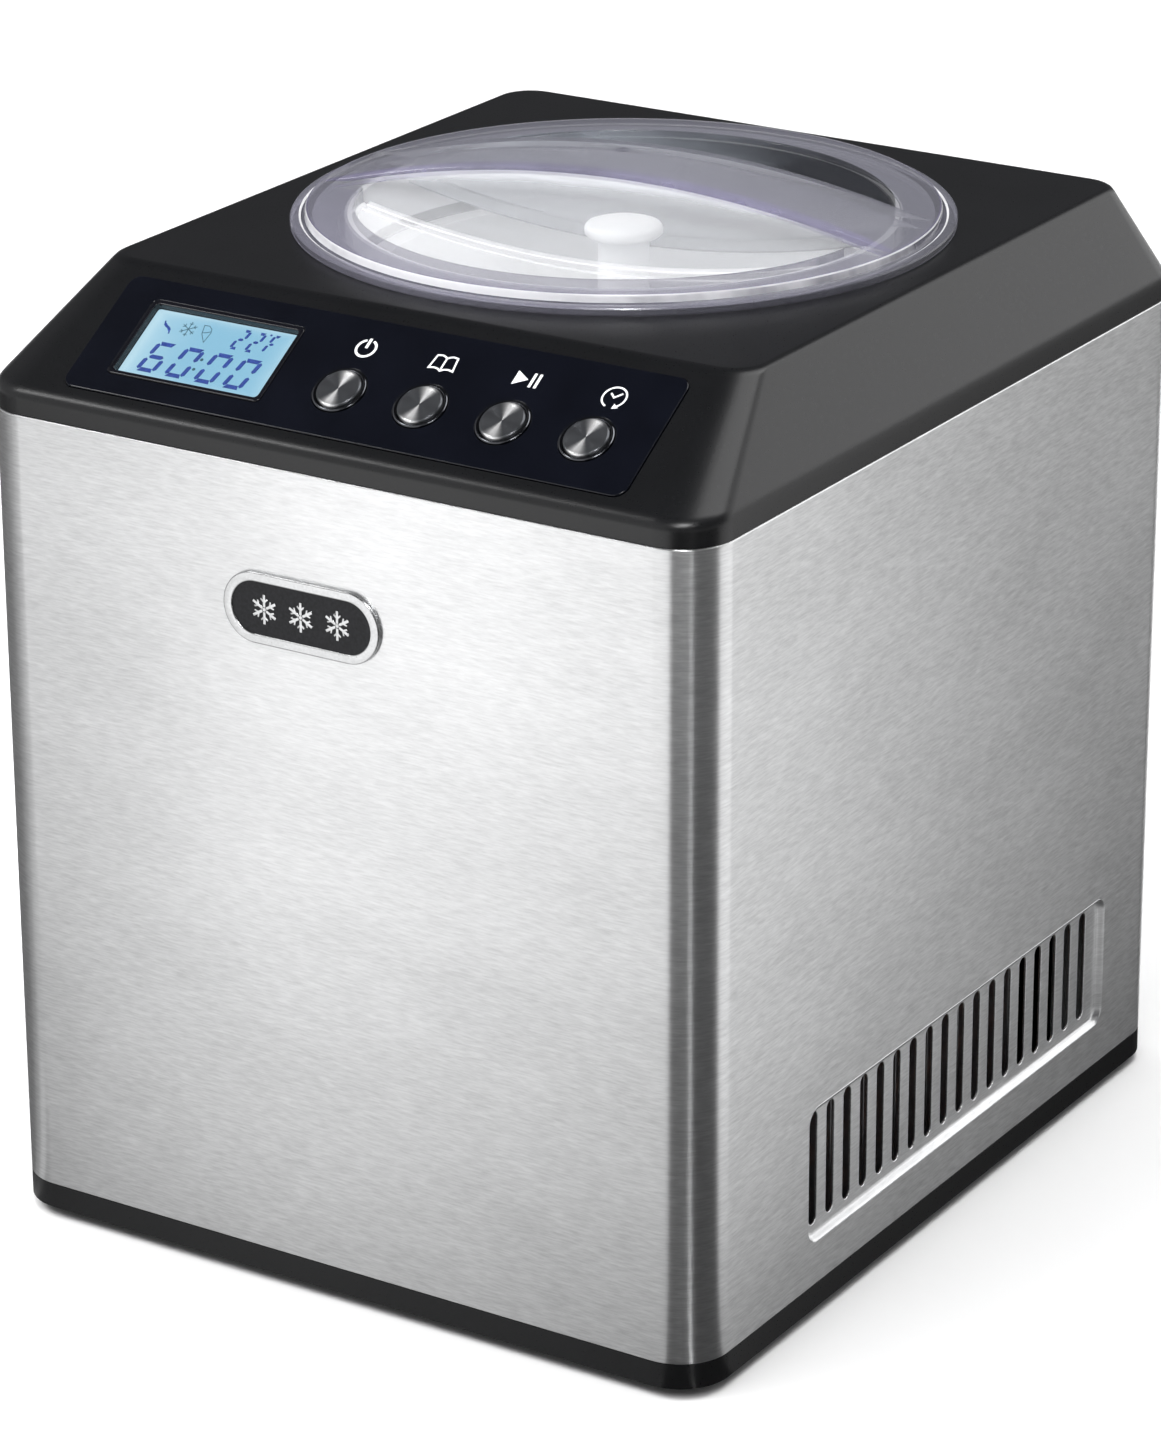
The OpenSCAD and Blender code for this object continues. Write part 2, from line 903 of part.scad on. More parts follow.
module lid() {
    color("#d9dbe6", 0.45)
    on_well(top_z)
        rotate(arch_turn)
            difference() {
                union() {
                    rotate_extrude()
                        polygon([
                            [0, -lid_depth], [skirt_r, -lid_depth], [skirt_r, 0.02], [lid_r - 0.8, 0.02],
                            [lid_r, 0.8], [lid_r, flange_h - 0.8], [lid_r - 0.8, flange_h],
                            [plateau_r + 0.5, flange_h], [plateau_r, plateau_h - 1],
                            [plateau_r - 1, plateau_h], [0, plateau_h]
                        ]);
                    arch_strip(0, plateau_r - 0.5);
                }
                both_scoops(0);
                difference() {
                    union() {
                        translate([0, 0, -lid_depth - 1])
                            cylinder(r = skirt_r - lid_wall, h = lid_depth + 1 + plateau_h - lid_wall);
                        arch_strip(lid_wall, skirt_r - lid_wall - 0.4);
                    }
                    both_scoops(lid_wall);
                }
            }
}

// ---------------------------------------------------------------- drive

module drive_shaft() {
    color("#8b8e92")
    on_well() {
        translate([0, 0, gearbox_z + 1])
            cylinder(r = shaft_r, h = hex_z - gearbox_z - 1);
        translate([0, 0, hex_z - 1])
            cylinder(r = hex_r, h = hex_h + 1, $fn = 6);
    }
}

module drive_gear() {
    color("#e6e3d8")
    translate([drive_c[0], drive_c[1], drive_gear_z])
        difference() {
            union() {
                rotate(-90)
                    gear(drive_teeth, drive_module, 9);
                cylinder(r = 11, h = 14);
            }
            translate([0, 0, -1])
                cylinder(r = shaft_r + run_gap, h = 20);
            for (i = [0:5])
                rotate(i * 60)
                    translate([25, 0, -1])
                        cylinder(r = 8, h = 12);
        }
}

module intermediate_gear() {
    color("#e6e3d8")
    translate([mid_c[0], mid_c[1], 0])
        difference() {
            union() {
                translate([0, 0, drive_gear_z])
                    rotate(90 + 180 / small_teeth)
                        gear(small_teeth, drive_module, mid_gear_z - drive_gear_z + 0.5);
                translate([0, 0, mid_gear_z])
                    rotate(180)
                        gear(large_teeth, motor_module, 8);
            }
            cylinder(r = 3 + run_gap, h = 200);
        }
}

module gear_axle() {
    color("#8b8e92")
    translate([mid_c[0], mid_c[1], gearbox_z])
        cylinder(r = 3, h = deck_low_z - gearbox_z);
}

module motor_pinion() {
    color("#a9acb0")
    translate([motor_c[0], motor_c[1], 0]) {
        translate([0, 0, mid_gear_z])
            rotate(180 / pinion_teeth)
                gear(pinion_teeth, motor_module, 8);
        translate([0, 0, gearbox_z + 2.5])
            cylinder(r = 2.5, h = mid_gear_z - gearbox_z - 2.5 + 0.5);
    }
}

module gearbox_outline(grow) {
    drive_room = 48 + grow;
    mid_room = 35 + grow;
    motor_room = 18 + grow;
    translate(drive_c)
        circle(drive_room);
    translate(mid_c)
        circle(mid_room);
    translate(motor_c)
        circle(motor_room);
    translate([-mid_room, mid_c[1]])
        square([2 * mid_room, drive_c[1] - mid_c[1]]);
    translate([motor_c[0], motor_c[1] - motor_room])
        square([mid_c[0] - motor_c[0], 2 * motor_room]);
}

module gearbox_base() {
    color("#3a3c3f")
    difference() {
        translate([0, 0, gearbox_z])
            linear_extrude(cover_z - gearbox_z)
                gearbox_outline(gear_wall);
        translate([0, 0, gearbox_z + gear_wall])
            linear_extrude(40)
                gearbox_outline(0);
        on_well(gearbox_z - 1)
            cylinder(r = 9.05, h = 10);
        translate([mid_c[0], mid_c[1], gearbox_z - 1])
            cylinder(r = 3.02, h = 10);
        translate([motor_c[0], motor_c[1], gearbox_z - 1])
            cylinder(r = 8.3, h = 10);
        for (sx = [-1, 1])
            translate([motor_c[0] + sx * 13, motor_c[1], gearbox_z - 1])
                cylinder(r = 2, h = 10);
    }
}

module gearbox_cover() {
    color("#47494d")
    difference() {
        translate([0, 0, cover_z])
            linear_extrude(deck_low_z - cover_z)
                gearbox_outline(gear_wall);
        on_well(cover_z - 1)
            cylinder(r = 9.05, h = 10);
        translate([mid_c[0], mid_c[1], cover_z - 1])
            cylinder(r = 3.02, h = 10);
    }
}

module shaft_bushes() {
    color("#b08d4a") {
        on_well(gearbox_z)
            ring(shaft_r + run_gap, 9, 5);
        on_well(cover_z - 1.5)
            ring(shaft_r + run_gap, 9, 10);
    }
}

module shaft_seal() {
    color("#2b2b2b")
    on_well(can_floor_z - 6)
        ring(shaft_r + run_gap, shaft_r + 2.1, 8);
}

module drive_motor() {
    color("#73767a")
    translate([motor_c[0], motor_c[1], 0])
        difference() {
            union() {
                rotate_extrude()
                    polygon([[0, motor_low_z], [22, motor_low_z], [motor_r, motor_low_z + 5],
                             [motor_r, gearbox_z], [8, gearbox_z], [8, gearbox_z + 2],
                             [0, gearbox_z + 2]]);
                translate([0, 0, motor_low_z - 5])
                    cylinder(r = 6, h = 6);
            }
            for (sx = [-1, 1])
                translate([sx * 13, 0, gearbox_z - 7])
                    cylinder(r = 1.95, h = 10);
        }
}

module motor_screws() {
    color("#8d9093")
    for (sx = [-1, 1])
        translate([motor_c[0] + sx * 13, motor_c[1], 0]) {
            translate([0, 0, gearbox_z - 6])
                cylinder(r = 1.9, h = 6 + gear_wall + 0.5);
            translate([0, 0, gearbox_z + gear_wall])
                cylinder(r = 3.4, h = 2.2);
        }
}

module chassis_deck() {
    deck = [256, 248];
    leg = 14;
    leg_x = 120;
    leg_y = [well_y - 115, well_y + 115];
    color("#8e9194")
    difference() {
        union() {
            translate([0, well_y, deck_low_z])
                linear_extrude(deck_h)
                    round_rect(deck[0], deck[1], 10);
            for (sx = [-1, 1], y = leg_y)
                translate([sx * leg_x - leg / 2, y - leg / 2, floor_z])
                    cube([leg, leg, deck_low_z - floor_z + 1]);
        }
        on_well(deck_low_z - 1)
            cylinder(r = 9.05, h = 10);
        bar(from_well(inlet_drop, 100), from_well(inlet_drop, 250), 3.6);
        bar(from_well(outlet_drop, 100), from_well(outlet_drop, 250), 4.2);
        for (sx = [-1, 1])
            translate([sx * 70, -92, deck_low_z - 1])
                linear_extrude(10)
                    round_rect(60, 16, 5);
    }
}

// ---------------------------------------------------------------- refrigeration

module at_comp_feet() {
    for (sx = [-1, 1], sy = [-1, 1])
        translate([comp_c[0] + sx * comp_foot[0], comp_c[1] + sy * comp_foot[1], 0])
            children();
}

// Half section of the compressor's rounded shell, moved in by the given amount
module shell_section(shrink) {
    r = comp_round - shrink;
    translate([0, comp_round])
        square([comp_r - shrink, comp_h - 2 * comp_round]);
    translate([0, shrink])
        square([comp_r - comp_round, comp_h - 2 * shrink]);
    for (z = [comp_round, comp_h - comp_round])
        translate([comp_r - comp_round, z])
            intersection() {
                circle(r, $fn = 64);
                translate([0, -r])
                    square([r, 2 * r]);
            }
}

// The shell between two heights, with the welded flange at the seam
module shell_cup(low, high, flange_low) {
    translate([comp_c[0], comp_c[1], comp_z])
        rotate_extrude() {
            intersection() {
                difference() {
                    shell_section(0);
                    shell_section(comp_wall);
                }
                translate([0, low])
                    square([100, high - low]);
            }
            translate([comp_r - 1, flange_low])
                square([2.8, 2.5]);
        }
}

module compressor_shell() {
    color("#191a1c")
    shell_cup(0, comp_seam, comp_seam - 2.5);
}

module compressor_cap() {
    color("#191a1c") {
        shell_cup(comp_seam, comp_h, comp_seam);
        for (p = [suction_stub, discharge_stub])
            bar([p[0], p[1], comp_z + comp_h - 2], [p[0], p[1], stub_top_z], 4.6);
    }
}

module compressor_pump() {
    color("#5c5f63")
    translate([comp_c[0], comp_c[1], comp_z + comp_wall])
        rotate_extrude()
            polygon([[0, 0], [12, 0], [12, 10], [38, 14], [38, 52], [30, 56], [30, 82], [0, 86]]);
}

module compressor_plate() {
    color("#2a2b2d")
    difference() {
        translate([comp_c[0], comp_c[1], comp_z - 3])
            linear_extrude(3)
                round_rect(2 * comp_foot[0] + 22, 2 * comp_foot[1] + 22, 8);
        at_comp_feet()
            translate([0, 0, comp_z - 5])
                cylinder(r = 3.2, h = 10);
    }
}

module compressor_grommets() {
    color("#1b1b1b")
    at_comp_feet()
        translate([0, 0, floor_z])
            ring(3.1, 9, comp_z - 3 - floor_z);
}

module compressor_bolts() {
    color("#9a9da1")
    at_comp_feet() {
        translate([0, 0, floor_z])
            cylinder(r = 3, h = comp_z + 1 - floor_z);
        translate([0, 0, comp_z])
            cylinder(r = 5.5, h = 4, $fn = 6);
    }
}

module terminal_cover() {
    color("#202124")
    translate([comp_c[0] + comp_r + 2, comp_c[1] - 20, comp_z + 22])
        difference() {
            cube([16, 40, 46]);
            translate([-1, 2, 2])
                cube([15, 36, 42]);
        }
}

module suction_tube() {
    color("#b87245")
    pipe([from_well(outlet_drop, 160), from_well(outlet_drop, 150),
          [suction_stub[0], suction_stub[1], 150],
          [suction_stub[0], suction_stub[1], stub_top_z]], 3.5);
}

module discharge_tube() {
    high = 146;
    color("#b87245")
    pipe([[discharge_stub[0], discharge_stub[1], stub_top_z],
          [discharge_stub[0], discharge_stub[1], high],
          [-100, discharge_stub[1], high], [-100, 122, high], [cond_x, 122, high],
          [cond_x, 122, cond_z + (cond_rows - 1) * cond_pitch],
          [cond_x, cond_y[1] + 4, cond_z + (cond_rows - 1) * cond_pitch]], 3.5);
}

module capillary_tube() {
    color("#b87245")
    pipe([[drier_c[0], drier_c[1], drier_z[1]], [drier_c[0], drier_c[1], 148],
          concat([from_well(inlet_drop, 0)[0], from_well(inlet_drop, 0)[1]], 148),
          from_well(inlet_drop, 160)], 1.5);
}

module liquid_tube() {
    color("#b87245")
    pipe([[cond_x, cond_y[0] - 4, cond_z], [cond_x, drier_c[1], cond_z],
          [drier_c[0], drier_c[1], cond_z], [drier_c[0], drier_c[1], drier_z[0]]], 3);
}

module filter_drier() {
    color("#c58a55")
    translate([drier_c[0], drier_c[1], drier_z[0]])
        rotate_extrude()
            polygon([[0, 0], [4, 0], [9, 7], [9, drier_z[1] - drier_z[0] - 7],
                     [4, drier_z[1] - drier_z[0]], [0, drier_z[1] - drier_z[0]]]);
}

module condenser_fins() {
    fin = [24, 0.6, (cond_rows - 1) * cond_pitch + 18];
    pitch = (cond_y[1] - cond_y[0] - 6) / (fin_count - 1);
    color("#c2c5c8")
    difference() {
        for (i = [0:fin_count - 1])
            translate([cond_x - fin[0] / 2, cond_y[0] + 3 + i * pitch - fin[1] / 2, cond_z - 9])
                cube(fin);
        for (row = [0:cond_rows - 1])
            translate([cond_x, cond_y[0] - 1, cond_z + row * cond_pitch])
                rotate([-90, 0, 0])
                    cylinder(r = cond_tube_r + 0.05, h = 200);
    }
}

module condenser_coil() {
    color("#b87245") {
        for (row = [0:cond_rows - 1])
            bar([cond_x, cond_y[0] - (row == 0 ? 4 : 0), cond_z + row * cond_pitch],
                [cond_x, cond_y[1] + (row == cond_rows - 1 ? 4 : 0), cond_z + row * cond_pitch],
                cond_tube_r);
        for (bend = [0:cond_rows - 2])
            translate([cond_x, bend % 2 == 0 ? cond_y[1] : cond_y[0], cond_z + (bend + 0.5) * cond_pitch])
                rotate([0, 90, 0])
                    rotate([0, 0, bend % 2 == 0 ? 0 : 180])
                        rotate_extrude(angle = 180)
                            translate([cond_pitch / 2, 0])
                                circle(cond_tube_r, $fn = 24);
    }
}

module fan_frame() {
    duct_r = 43.5;
    color("#1c1d1f")
    translate([fan_c[0], fan_c[1], fan_c[2]])
        rotate([0, 90, 0])
            translate([0, 0, -fan_t / 2]) {
                difference() {
                    linear_extrude(fan_t)
                        round_rect(fan_size, fan_size, 5);
                    translate([0, 0, -1])
                        cylinder(r = duct_r, h = fan_t + 2);
                    for (sx = [-1, 1], sy = [-1, 1])
                        translate([sx * 41.25, sy * 41.25, -1])
                            cylinder(r = 2.1, h = fan_t + 2);
                }
                cylinder(r = 16, h = 4);
                cylinder(r = 2, h = 16);
                for (i = [0:3])
                    rotate(45 + i * 90)
                        translate([14, -2, 0])
                            cube([duct_r - 12, 4, 3]);
            }
}

module fan_rotor() {
    tip_r = 41.5;
    color("#2c2e31")
    translate([fan_c[0], fan_c[1], fan_c[2]])
        rotate([0, 90, 0])
            translate([0, 0, -fan_t / 2 + 4.5])
                difference() {
                    union() {
                        cylinder(r = 17, h = 16);
                        intersection() {
                            cylinder(r = tip_r, h = 16);
                            for (i = [0:6])
                                rotate(i * 360 / 7)
                                    translate([10, 0, 8])
                                        rotate([38, 0, 0])
                                            translate([0, -11, -0.8])
                                                cube([40, 22, 1.6]);
                        }
                    }
                    translate([0, 0, -1])
                        cylinder(r = 2 + run_gap, h = 13);
                }
}

// ---------------------------------------------------------------- electrics

module power_board() {
    board = [136, 1.6, 80];
    color("#2a6b45")
    translate([-board[0] / 2, -141.8, floor_z + 0.1])
        cube(board);
    color("#30343a")
    translate([-56, -140.2, floor_z + 20])
        cube([34, 26, 38]);
    color("#3566a8")
    for (i = [0:2])
        translate([-6 + i * 22, -140.2, floor_z + 24])
            cube([17, 15, 19]);
    color("#4a4d52")
    translate([10, -140.2, floor_z + 62])
        rotate([-90, 0, 0])
            cylinder(r = 9, h = 22);
    color("#d8d4c4")
    translate([-10, -140.2, floor_z + 70])
        cube([20, 6, 7]);
}

module power_inlet() {
    shell = [27.8, 24, 20];
    color("#15161a")
    translate([inlet_c[0], body_d / 2, inlet_c[1]])
        rotate([90, 0, 0])
            difference() {
                union() {
                    translate([0, 0, -0.02 - 1.4])
                        linear_extrude(1.4)
                            round_rect(36, 28, 3);
                    translate([0, 0, -1.4])
                        linear_extrude(shell[1])
                            round_rect(shell[0], shell[2], 2.4);
                }
                translate([0, 0, -3])
                    linear_extrude(shell[1] - 2)
                        round_rect(24, 16.5, 2);
            }
}

module inlet_pins() {
    color("#c9b36a")
    for (pin = [[-7, -2], [0, 2], [7, -2]])
        translate([inlet_c[0] + pin[0] - 1, body_d / 2 - 19, inlet_c[1] + pin[1] - 2])
            cube([2, 14.4, 4]);
}

module ribbon_cable() {
    strip_w = 18;
    low_y = -137.6;
    high_y = -145;
    bend_z = floor_z + 91;
    color("#9a9da3")
    translate([-strip_w / 2, 0, 0]) {
        translate([0, low_y, floor_z + 77])
            cube([strip_w, 1, bend_z - floor_z - 77]);
        translate([0, high_y, bend_z - 1])
            cube([strip_w, low_y + 1 - high_y, 1]);
        translate([0, high_y, bend_z - 1])
            cube([strip_w, 1, slope_z - 11 - bend_z]);
    }
}

// ---------------------------------------------------------------- the drawn nodes

base_tray();
rubber_feet();
foot_screws();
steel_wrapper();
rear_panel();
rear_screws();
top_housing();
control_overlay();
display_bezel();
display_lens();
display_module();
control_board();
tact_switches();
button_rings();
button_power();
button_menu();
button_start();
button_timer();
badge_frame();
badge_plate();
well_can();
evaporator_coil();
insulation_foam();
well_gasket();
mixing_bowl();
paddle();
paddle_knob();
lid();
drive_shaft();
drive_gear();
intermediate_gear();
gear_axle();
motor_pinion();
gearbox_base();
gearbox_cover();
shaft_bushes();
shaft_seal();
drive_motor();
motor_screws();
chassis_deck();
compressor_shell();
compressor_cap();
compressor_pump();
compressor_plate();
compressor_grommets();
compressor_bolts();
terminal_cover();
suction_tube();
discharge_tube();
capillary_tube();
liquid_tube();
filter_drier();
condenser_fins();
condenser_coil();
fan_frame();
fan_rotor();
power_board();
power_inlet();
inlet_pins();
ribbon_cable();
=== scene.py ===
"""Looks for the compressor ice cream maker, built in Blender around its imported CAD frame."""
import math

import bmesh
import bpy
from mathutils import Matrix, Vector


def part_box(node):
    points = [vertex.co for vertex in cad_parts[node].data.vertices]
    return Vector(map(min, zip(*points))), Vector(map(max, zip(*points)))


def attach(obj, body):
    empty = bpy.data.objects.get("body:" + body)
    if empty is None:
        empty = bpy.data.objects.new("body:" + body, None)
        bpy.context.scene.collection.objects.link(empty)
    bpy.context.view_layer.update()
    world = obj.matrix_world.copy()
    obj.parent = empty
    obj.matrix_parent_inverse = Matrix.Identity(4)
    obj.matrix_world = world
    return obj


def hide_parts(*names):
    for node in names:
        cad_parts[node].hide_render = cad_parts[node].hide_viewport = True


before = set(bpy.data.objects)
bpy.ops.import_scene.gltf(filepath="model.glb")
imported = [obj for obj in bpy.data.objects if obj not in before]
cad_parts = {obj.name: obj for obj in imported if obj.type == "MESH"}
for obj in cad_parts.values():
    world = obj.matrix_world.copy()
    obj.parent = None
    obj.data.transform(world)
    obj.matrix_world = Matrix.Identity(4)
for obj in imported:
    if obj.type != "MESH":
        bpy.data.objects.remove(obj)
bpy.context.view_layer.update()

MM = 0.001

# ---------------------------------------------------------------- sizes, in mm, as in the CAD
BODY_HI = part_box("steel_wrapper")[1] / MM
HALF_W = BODY_HI.x
HALF_D = BODY_HI.y
STEEL_Z = (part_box("steel_wrapper")[0].z / MM, BODY_HI.z)
CORNER_R = 18
BAND_Z = STEEL_Z[1]
TOP_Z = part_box("top_housing")[1].z / MM
SLOPE_H = 32.6
SLOPE_Z = TOP_Z - SLOPE_H
INSET = {"front": 51.9, "back": 18.3, "side": 15.1}
WELL_Y = 16.4
COLLAR_R = 95.2
LEDGE_Z = TOP_Z - 23.8
SLOPE_ANGLE = math.atan2(SLOPE_H, INSET["front"])
SLOPE = Matrix.Translation((0, -HALF_D * MM, SLOPE_Z * MM)) @ Matrix.Rotation(SLOPE_ANGLE, 4, "X")
OVERLAY = {"w": 212, "d": 48.7, "s": 30.75, "low": -0.8, "high": 0.6}
SCREEN = {"x": -62.7, "s": 30.5}
BEZEL = (59.6, 32.2)
WINDOW = (56.1, 28.7)
BUTTONS = {"power": -8, "menu": 22.5, "start": 53, "timer": 83.5}
BUTTON_S = 25.2
RING_R = 9.05
CAP_R = 7.5
BADGE = {"x": -9.2, "z": 240.2, "w": 59.6, "h": 24, "hole": (53, 17.6), "proud": 1.5}
VENT = {"y": (-92, 116), "z": (28, 77), "r": 6, "depth": 2, "first": -85.6, "pitch": 11.07,
        "count": 18, "slot_z": (33.5, 74), "slot_w": 5}

# ---------------------------------------------------------------- outlines


def arc(cx, cy, r, start, end, steps):
    """Points of an arc, angles in degrees."""
    angles = [math.radians(start + (end - start) * k / steps) for k in range(steps + 1)]
    return [(cx + r * math.cos(a), cy + r * math.sin(a)) for a in angles]


def rounded(x0, x1, y0, y1, r, steps=10, along=1):
    """A rounded rectangle, anticlockwise from its lower right corner, with extra points along its sides."""
    corners = [arc(x1 - r, y0 + r, r, -90, 0, steps), arc(x1 - r, y1 - r, r, 0, 90, steps),
               arc(x0 + r, y1 - r, r, 90, 180, steps), arc(x0 + r, y0 + r, r, 180, 270, steps)]
    loop = []
    for k, corner in enumerate(corners):
        a, b = Vector(corner[-1]), Vector(corners[(k + 1) % 4][0])
        loop += corner + [tuple(a.lerp(b, j / along)) for j in range(1, along)]
    return loop


def centred(cx, cy, w, h, r, steps=10):
    return rounded(cx - w / 2, cx + w / 2, cy - h / 2, cy + h / 2, r, steps)


def stadium(cx, cy, w, h, steps=12):
    """A bar with round ends along its longer side."""
    return centred(cx, cy, w, h, min(w, h) / 2 - 0.001, steps)


def bezier(p0, p1, p2, steps):
    """Points of a quadratic curve, without its last one."""
    out = []
    for k in range(steps):
        t = k / steps
        out.append(tuple((1 - t) ** 2 * a + 2 * t * (1 - t) * b + t * t * c for a, b, c in zip(p0, p1, p2)))
    return out


# ---------------------------------------------------------------- meshes


class Shape:
    """Vertices in mm and faces with a material number each."""

    def __init__(self):
        self.verts, self.faces, self.mats = [], [], []

    def add(self, points):
        first = len(self.verts)
        self.verts += [tuple(p) for p in points]
        return list(range(first, len(self.verts)))

    def face(self, ids, mat=0):
        self.faces.append(list(ids))
        self.mats.append(mat)

    def strip(self, a, b, closed=False, mat=0):
        """Quads between two rows of the same length."""
        n = len(a)
        for i in range(n if closed else n - 1):
            j = (i + 1) % n
            self.face((a[i], a[j], b[j], b[i]), mat)

    def rows(self, rows, closed=False, ring=False, mat=0):
        """Quads between each row of points and the next, and the last and the first if it is a ring."""
        ids = [self.add(r) for r in rows]
        for k in range(len(ids) if ring else len(ids) - 1):
            self.strip(ids[k], ids[(k + 1) % len(ids)], closed, mat)
        return ids

    def prism(self, loop, z0, z1, mat=0):
        low, high = self.add([(x, y, z0) for x, y in loop]), self.add([(x, y, z1) for x, y in loop])
        self.strip(low, high, True, mat)
        self.face(list(reversed(low)), mat)
        self.face(high, mat)

    def ribbon(self, line, width, z0, z1, closed=False, mat=0):
        """A flat band of the given width along a line."""
        pts = [Vector(p) for p in line]
        n = len(pts)
        left, right = [], []
        for i, p in enumerate(pts):
            before = pts[i - 1] if closed or i else p
            after = pts[(i + 1) % n] if closed or i < n - 1 else p
            d1 = (p - before).normalized() if (p - before).length else (after - p).normalized()
            d2 = (after - p).normalized() if (after - p).length else d1
            mid = (d1 + d2).normalized()
            reach = width / 2 / max(0.4, mid.dot(d1))
            side = Vector((-mid.y, mid.x)) * reach
            left.append(p + side)
            right.append(p - side)
        ids = [self.add([(q.x, q.y, z) for q in row]) for row, z in
               ((left, z0), (left, z1), (right, z1), (right, z0))]
        for k in range(4):
            self.strip(ids[k], ids[(k + 1) % 4], closed, mat)
        if not closed:
            for end in (0, -1):
                self.face([row[end] for row in ids], mat)

    def lathe(self, profile, steps=64, mat=0, ring=False):
        """A profile of (radius, height) turned about Z, closed on the axis or as a ring."""
        rows = [[(r * math.cos(a), r * math.sin(a), z) for a in
                 (2 * math.pi * k / steps for k in range(steps))] for r, z in profile]
        return self.rows(rows, True, ring, mat)


def cleaned(mesh):
    """Joins doubled points, drops empty faces and turns the normals outwards."""
    bm = bmesh.new()
    bm.from_mesh(mesh)
    bmesh.ops.remove_doubles(bm, verts=bm.verts, dist=2e-6)
    bmesh.ops.dissolve_degenerate(bm, edges=bm.edges, dist=2e-6)
    bmesh.ops.recalc_face_normals(bm, faces=bm.faces)
    bm.to_mesh(mesh)
    bm.free()
    return mesh


def mesh_of(shape, name, matrix=None):
    mesh = bpy.data.meshes.new(name)
    mesh.from_pydata([Vector(v) * MM for v in shape.verts], [], shape.faces)
    mesh.polygons.foreach_set("material_index", shape.mats)
    if matrix:
        mesh.transform(matrix)
    return cleaned(mesh)


def piece(name, mesh, body, slot, replaces=(), matrix=None, sharp=38, looks=None):
    """Puts a mesh in the scene as a piece that rides on a body, with its slot's material if looks isn't given."""
    obj = bpy.data.objects.new(name, mesh)
    bpy.context.scene.collection.objects.link(obj)
    for m in looks or [MATERIALS[slot]]:
        mesh.materials.append(m)
    if matrix:
        obj.matrix_world = matrix
    mesh.shade_smooth()
    mesh.set_sharp_from_angle(angle=math.radians(sharp))
    weighted = obj.modifiers.new("normals", "WEIGHTED_NORMAL")
    weighted.keep_sharp = True
    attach(obj, body)
    if replaces:
        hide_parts(*replaces)
    return obj


def plate(outlines, z0, z1, edge, matrix=None):
    """A flat plate from an outer outline and its holes, with rounded edges."""
    curve = bpy.data.curves.new("plate", "CURVE")
    curve.dimensions = "2D"
    curve.fill_mode = "BOTH"
    curve.bevel_depth = edge * MM
    curve.bevel_resolution = 2
    curve.offset = -edge * MM
    curve.extrude = max(0.0, (z1 - z0) / 2 - edge) * MM
    for loop in outlines:
        spline = curve.splines.new("POLY")
        spline.points.add(len(loop) - 1)
        for point, (x, y) in zip(spline.points, loop):
            point.co = (x * MM, y * MM, 0, 1)
        spline.use_cyclic_u = True
    holder = bpy.data.objects.new("plate", curve)
    bpy.context.scene.collection.objects.link(holder)
    shown = holder.evaluated_get(bpy.context.evaluated_depsgraph_get())
    mesh = bpy.data.meshes.new_from_object(shown)
    bpy.data.objects.remove(holder)
    mesh.transform((matrix or Matrix()) @ Matrix.Translation((0, 0, (z0 + z1) / 2 * MM)))
    return cleaned(mesh)


def cut(mesh, cutters):
    """The mesh with each cutter taken away in turn."""
    for cutter in cutters:
        a = bpy.data.objects.new("cut_from", mesh)
        b = bpy.data.objects.new("cut_with", cutter)
        for o in (a, b):
            bpy.context.scene.collection.objects.link(o)
        step = a.modifiers.new("cut", "BOOLEAN")
        step.operation, step.solver, step.object = "DIFFERENCE", "EXACT", b
        mesh = bpy.data.meshes.new_from_object(a.evaluated_get(bpy.context.evaluated_depsgraph_get()))
        for o in (a, b):
            bpy.data.objects.remove(o)
    return mesh


def joined(meshes, name):
    """Several meshes as one."""
    bm = bmesh.new()
    for m in meshes:
        bm.from_mesh(m)
    out = bpy.data.meshes.new(name)
    bm.to_mesh(out)
    bm.free()
    return out


# ---------------------------------------------------------------- materials


def node(tree, kind, inputs=None, **settings):
    n = tree.nodes.new(kind)
    for key, value in settings.items():
        setattr(n, key, value)
    for key, value in (inputs or {}).items():
        if isinstance(value, bpy.types.NodeSocket):
            tree.links.new(value, n.inputs[key])
        else:
            n.inputs[key].default_value = value
    return n


def noise(tree, scale, stretch=(1, 1, 1), detail=3.0, rough=0.55):
    """A noise pattern in the object's own coordinates."""
    place = node(tree, "ShaderNodeTexCoord").outputs["Object"]
    place = node(tree, "ShaderNodeMapping", {"Vector": place, "Scale": stretch}).outputs["Vector"]
    return node(tree, "ShaderNodeTexNoise", {"Vector": place, "Scale": scale, "Detail": detail,
                                             "Roughness": rough}).outputs["Fac"]


def spread(tree, value, low, high, start=0.3, end=0.7):
    """A noise value stretched to run from low to high."""
    return node(tree, "ShaderNodeMapRange", {"Value": value, "From Min": start, "From Max": end,
                                             "To Min": low, "To Max": high}).outputs["Result"]


def tint(tree, value, dark, light, start=0.3, end=0.7):
    """A colour between two, by a value."""
    ramp = node(tree, "ShaderNodeValToRGB", {"Fac": value})
    for stop, place, colour in zip(ramp.color_ramp.elements, (start, end), (dark, light)):
        stop.position, stop.color = place, (*colour, 1)
    return ramp.outputs["Color"]


def shaded(colour, amount):
    return [max(0.0, min(1.0, c * amount)) for c in colour]


def new_material(name, sockets):
    """A material, its node tree and its shader, with constants set on the shader's own sockets."""
    mat = bpy.data.materials.new(name)
    mat.use_nodes = True
    shader = mat.node_tree.nodes["Principled BSDF"]
    for key, value in sockets.items():
        shader.inputs[key.replace("_", " ")].default_value = value
    return mat, mat.node_tree, shader


def maths(tree, operation, a, b=None, c=None, **settings):
    """The result of a maths node on numbers or outputs."""
    given = {k: v for k, v in enumerate((a, b, c)) if v is not None}
    return node(tree, "ShaderNodeMath", given, operation=operation, **settings).outputs[0]


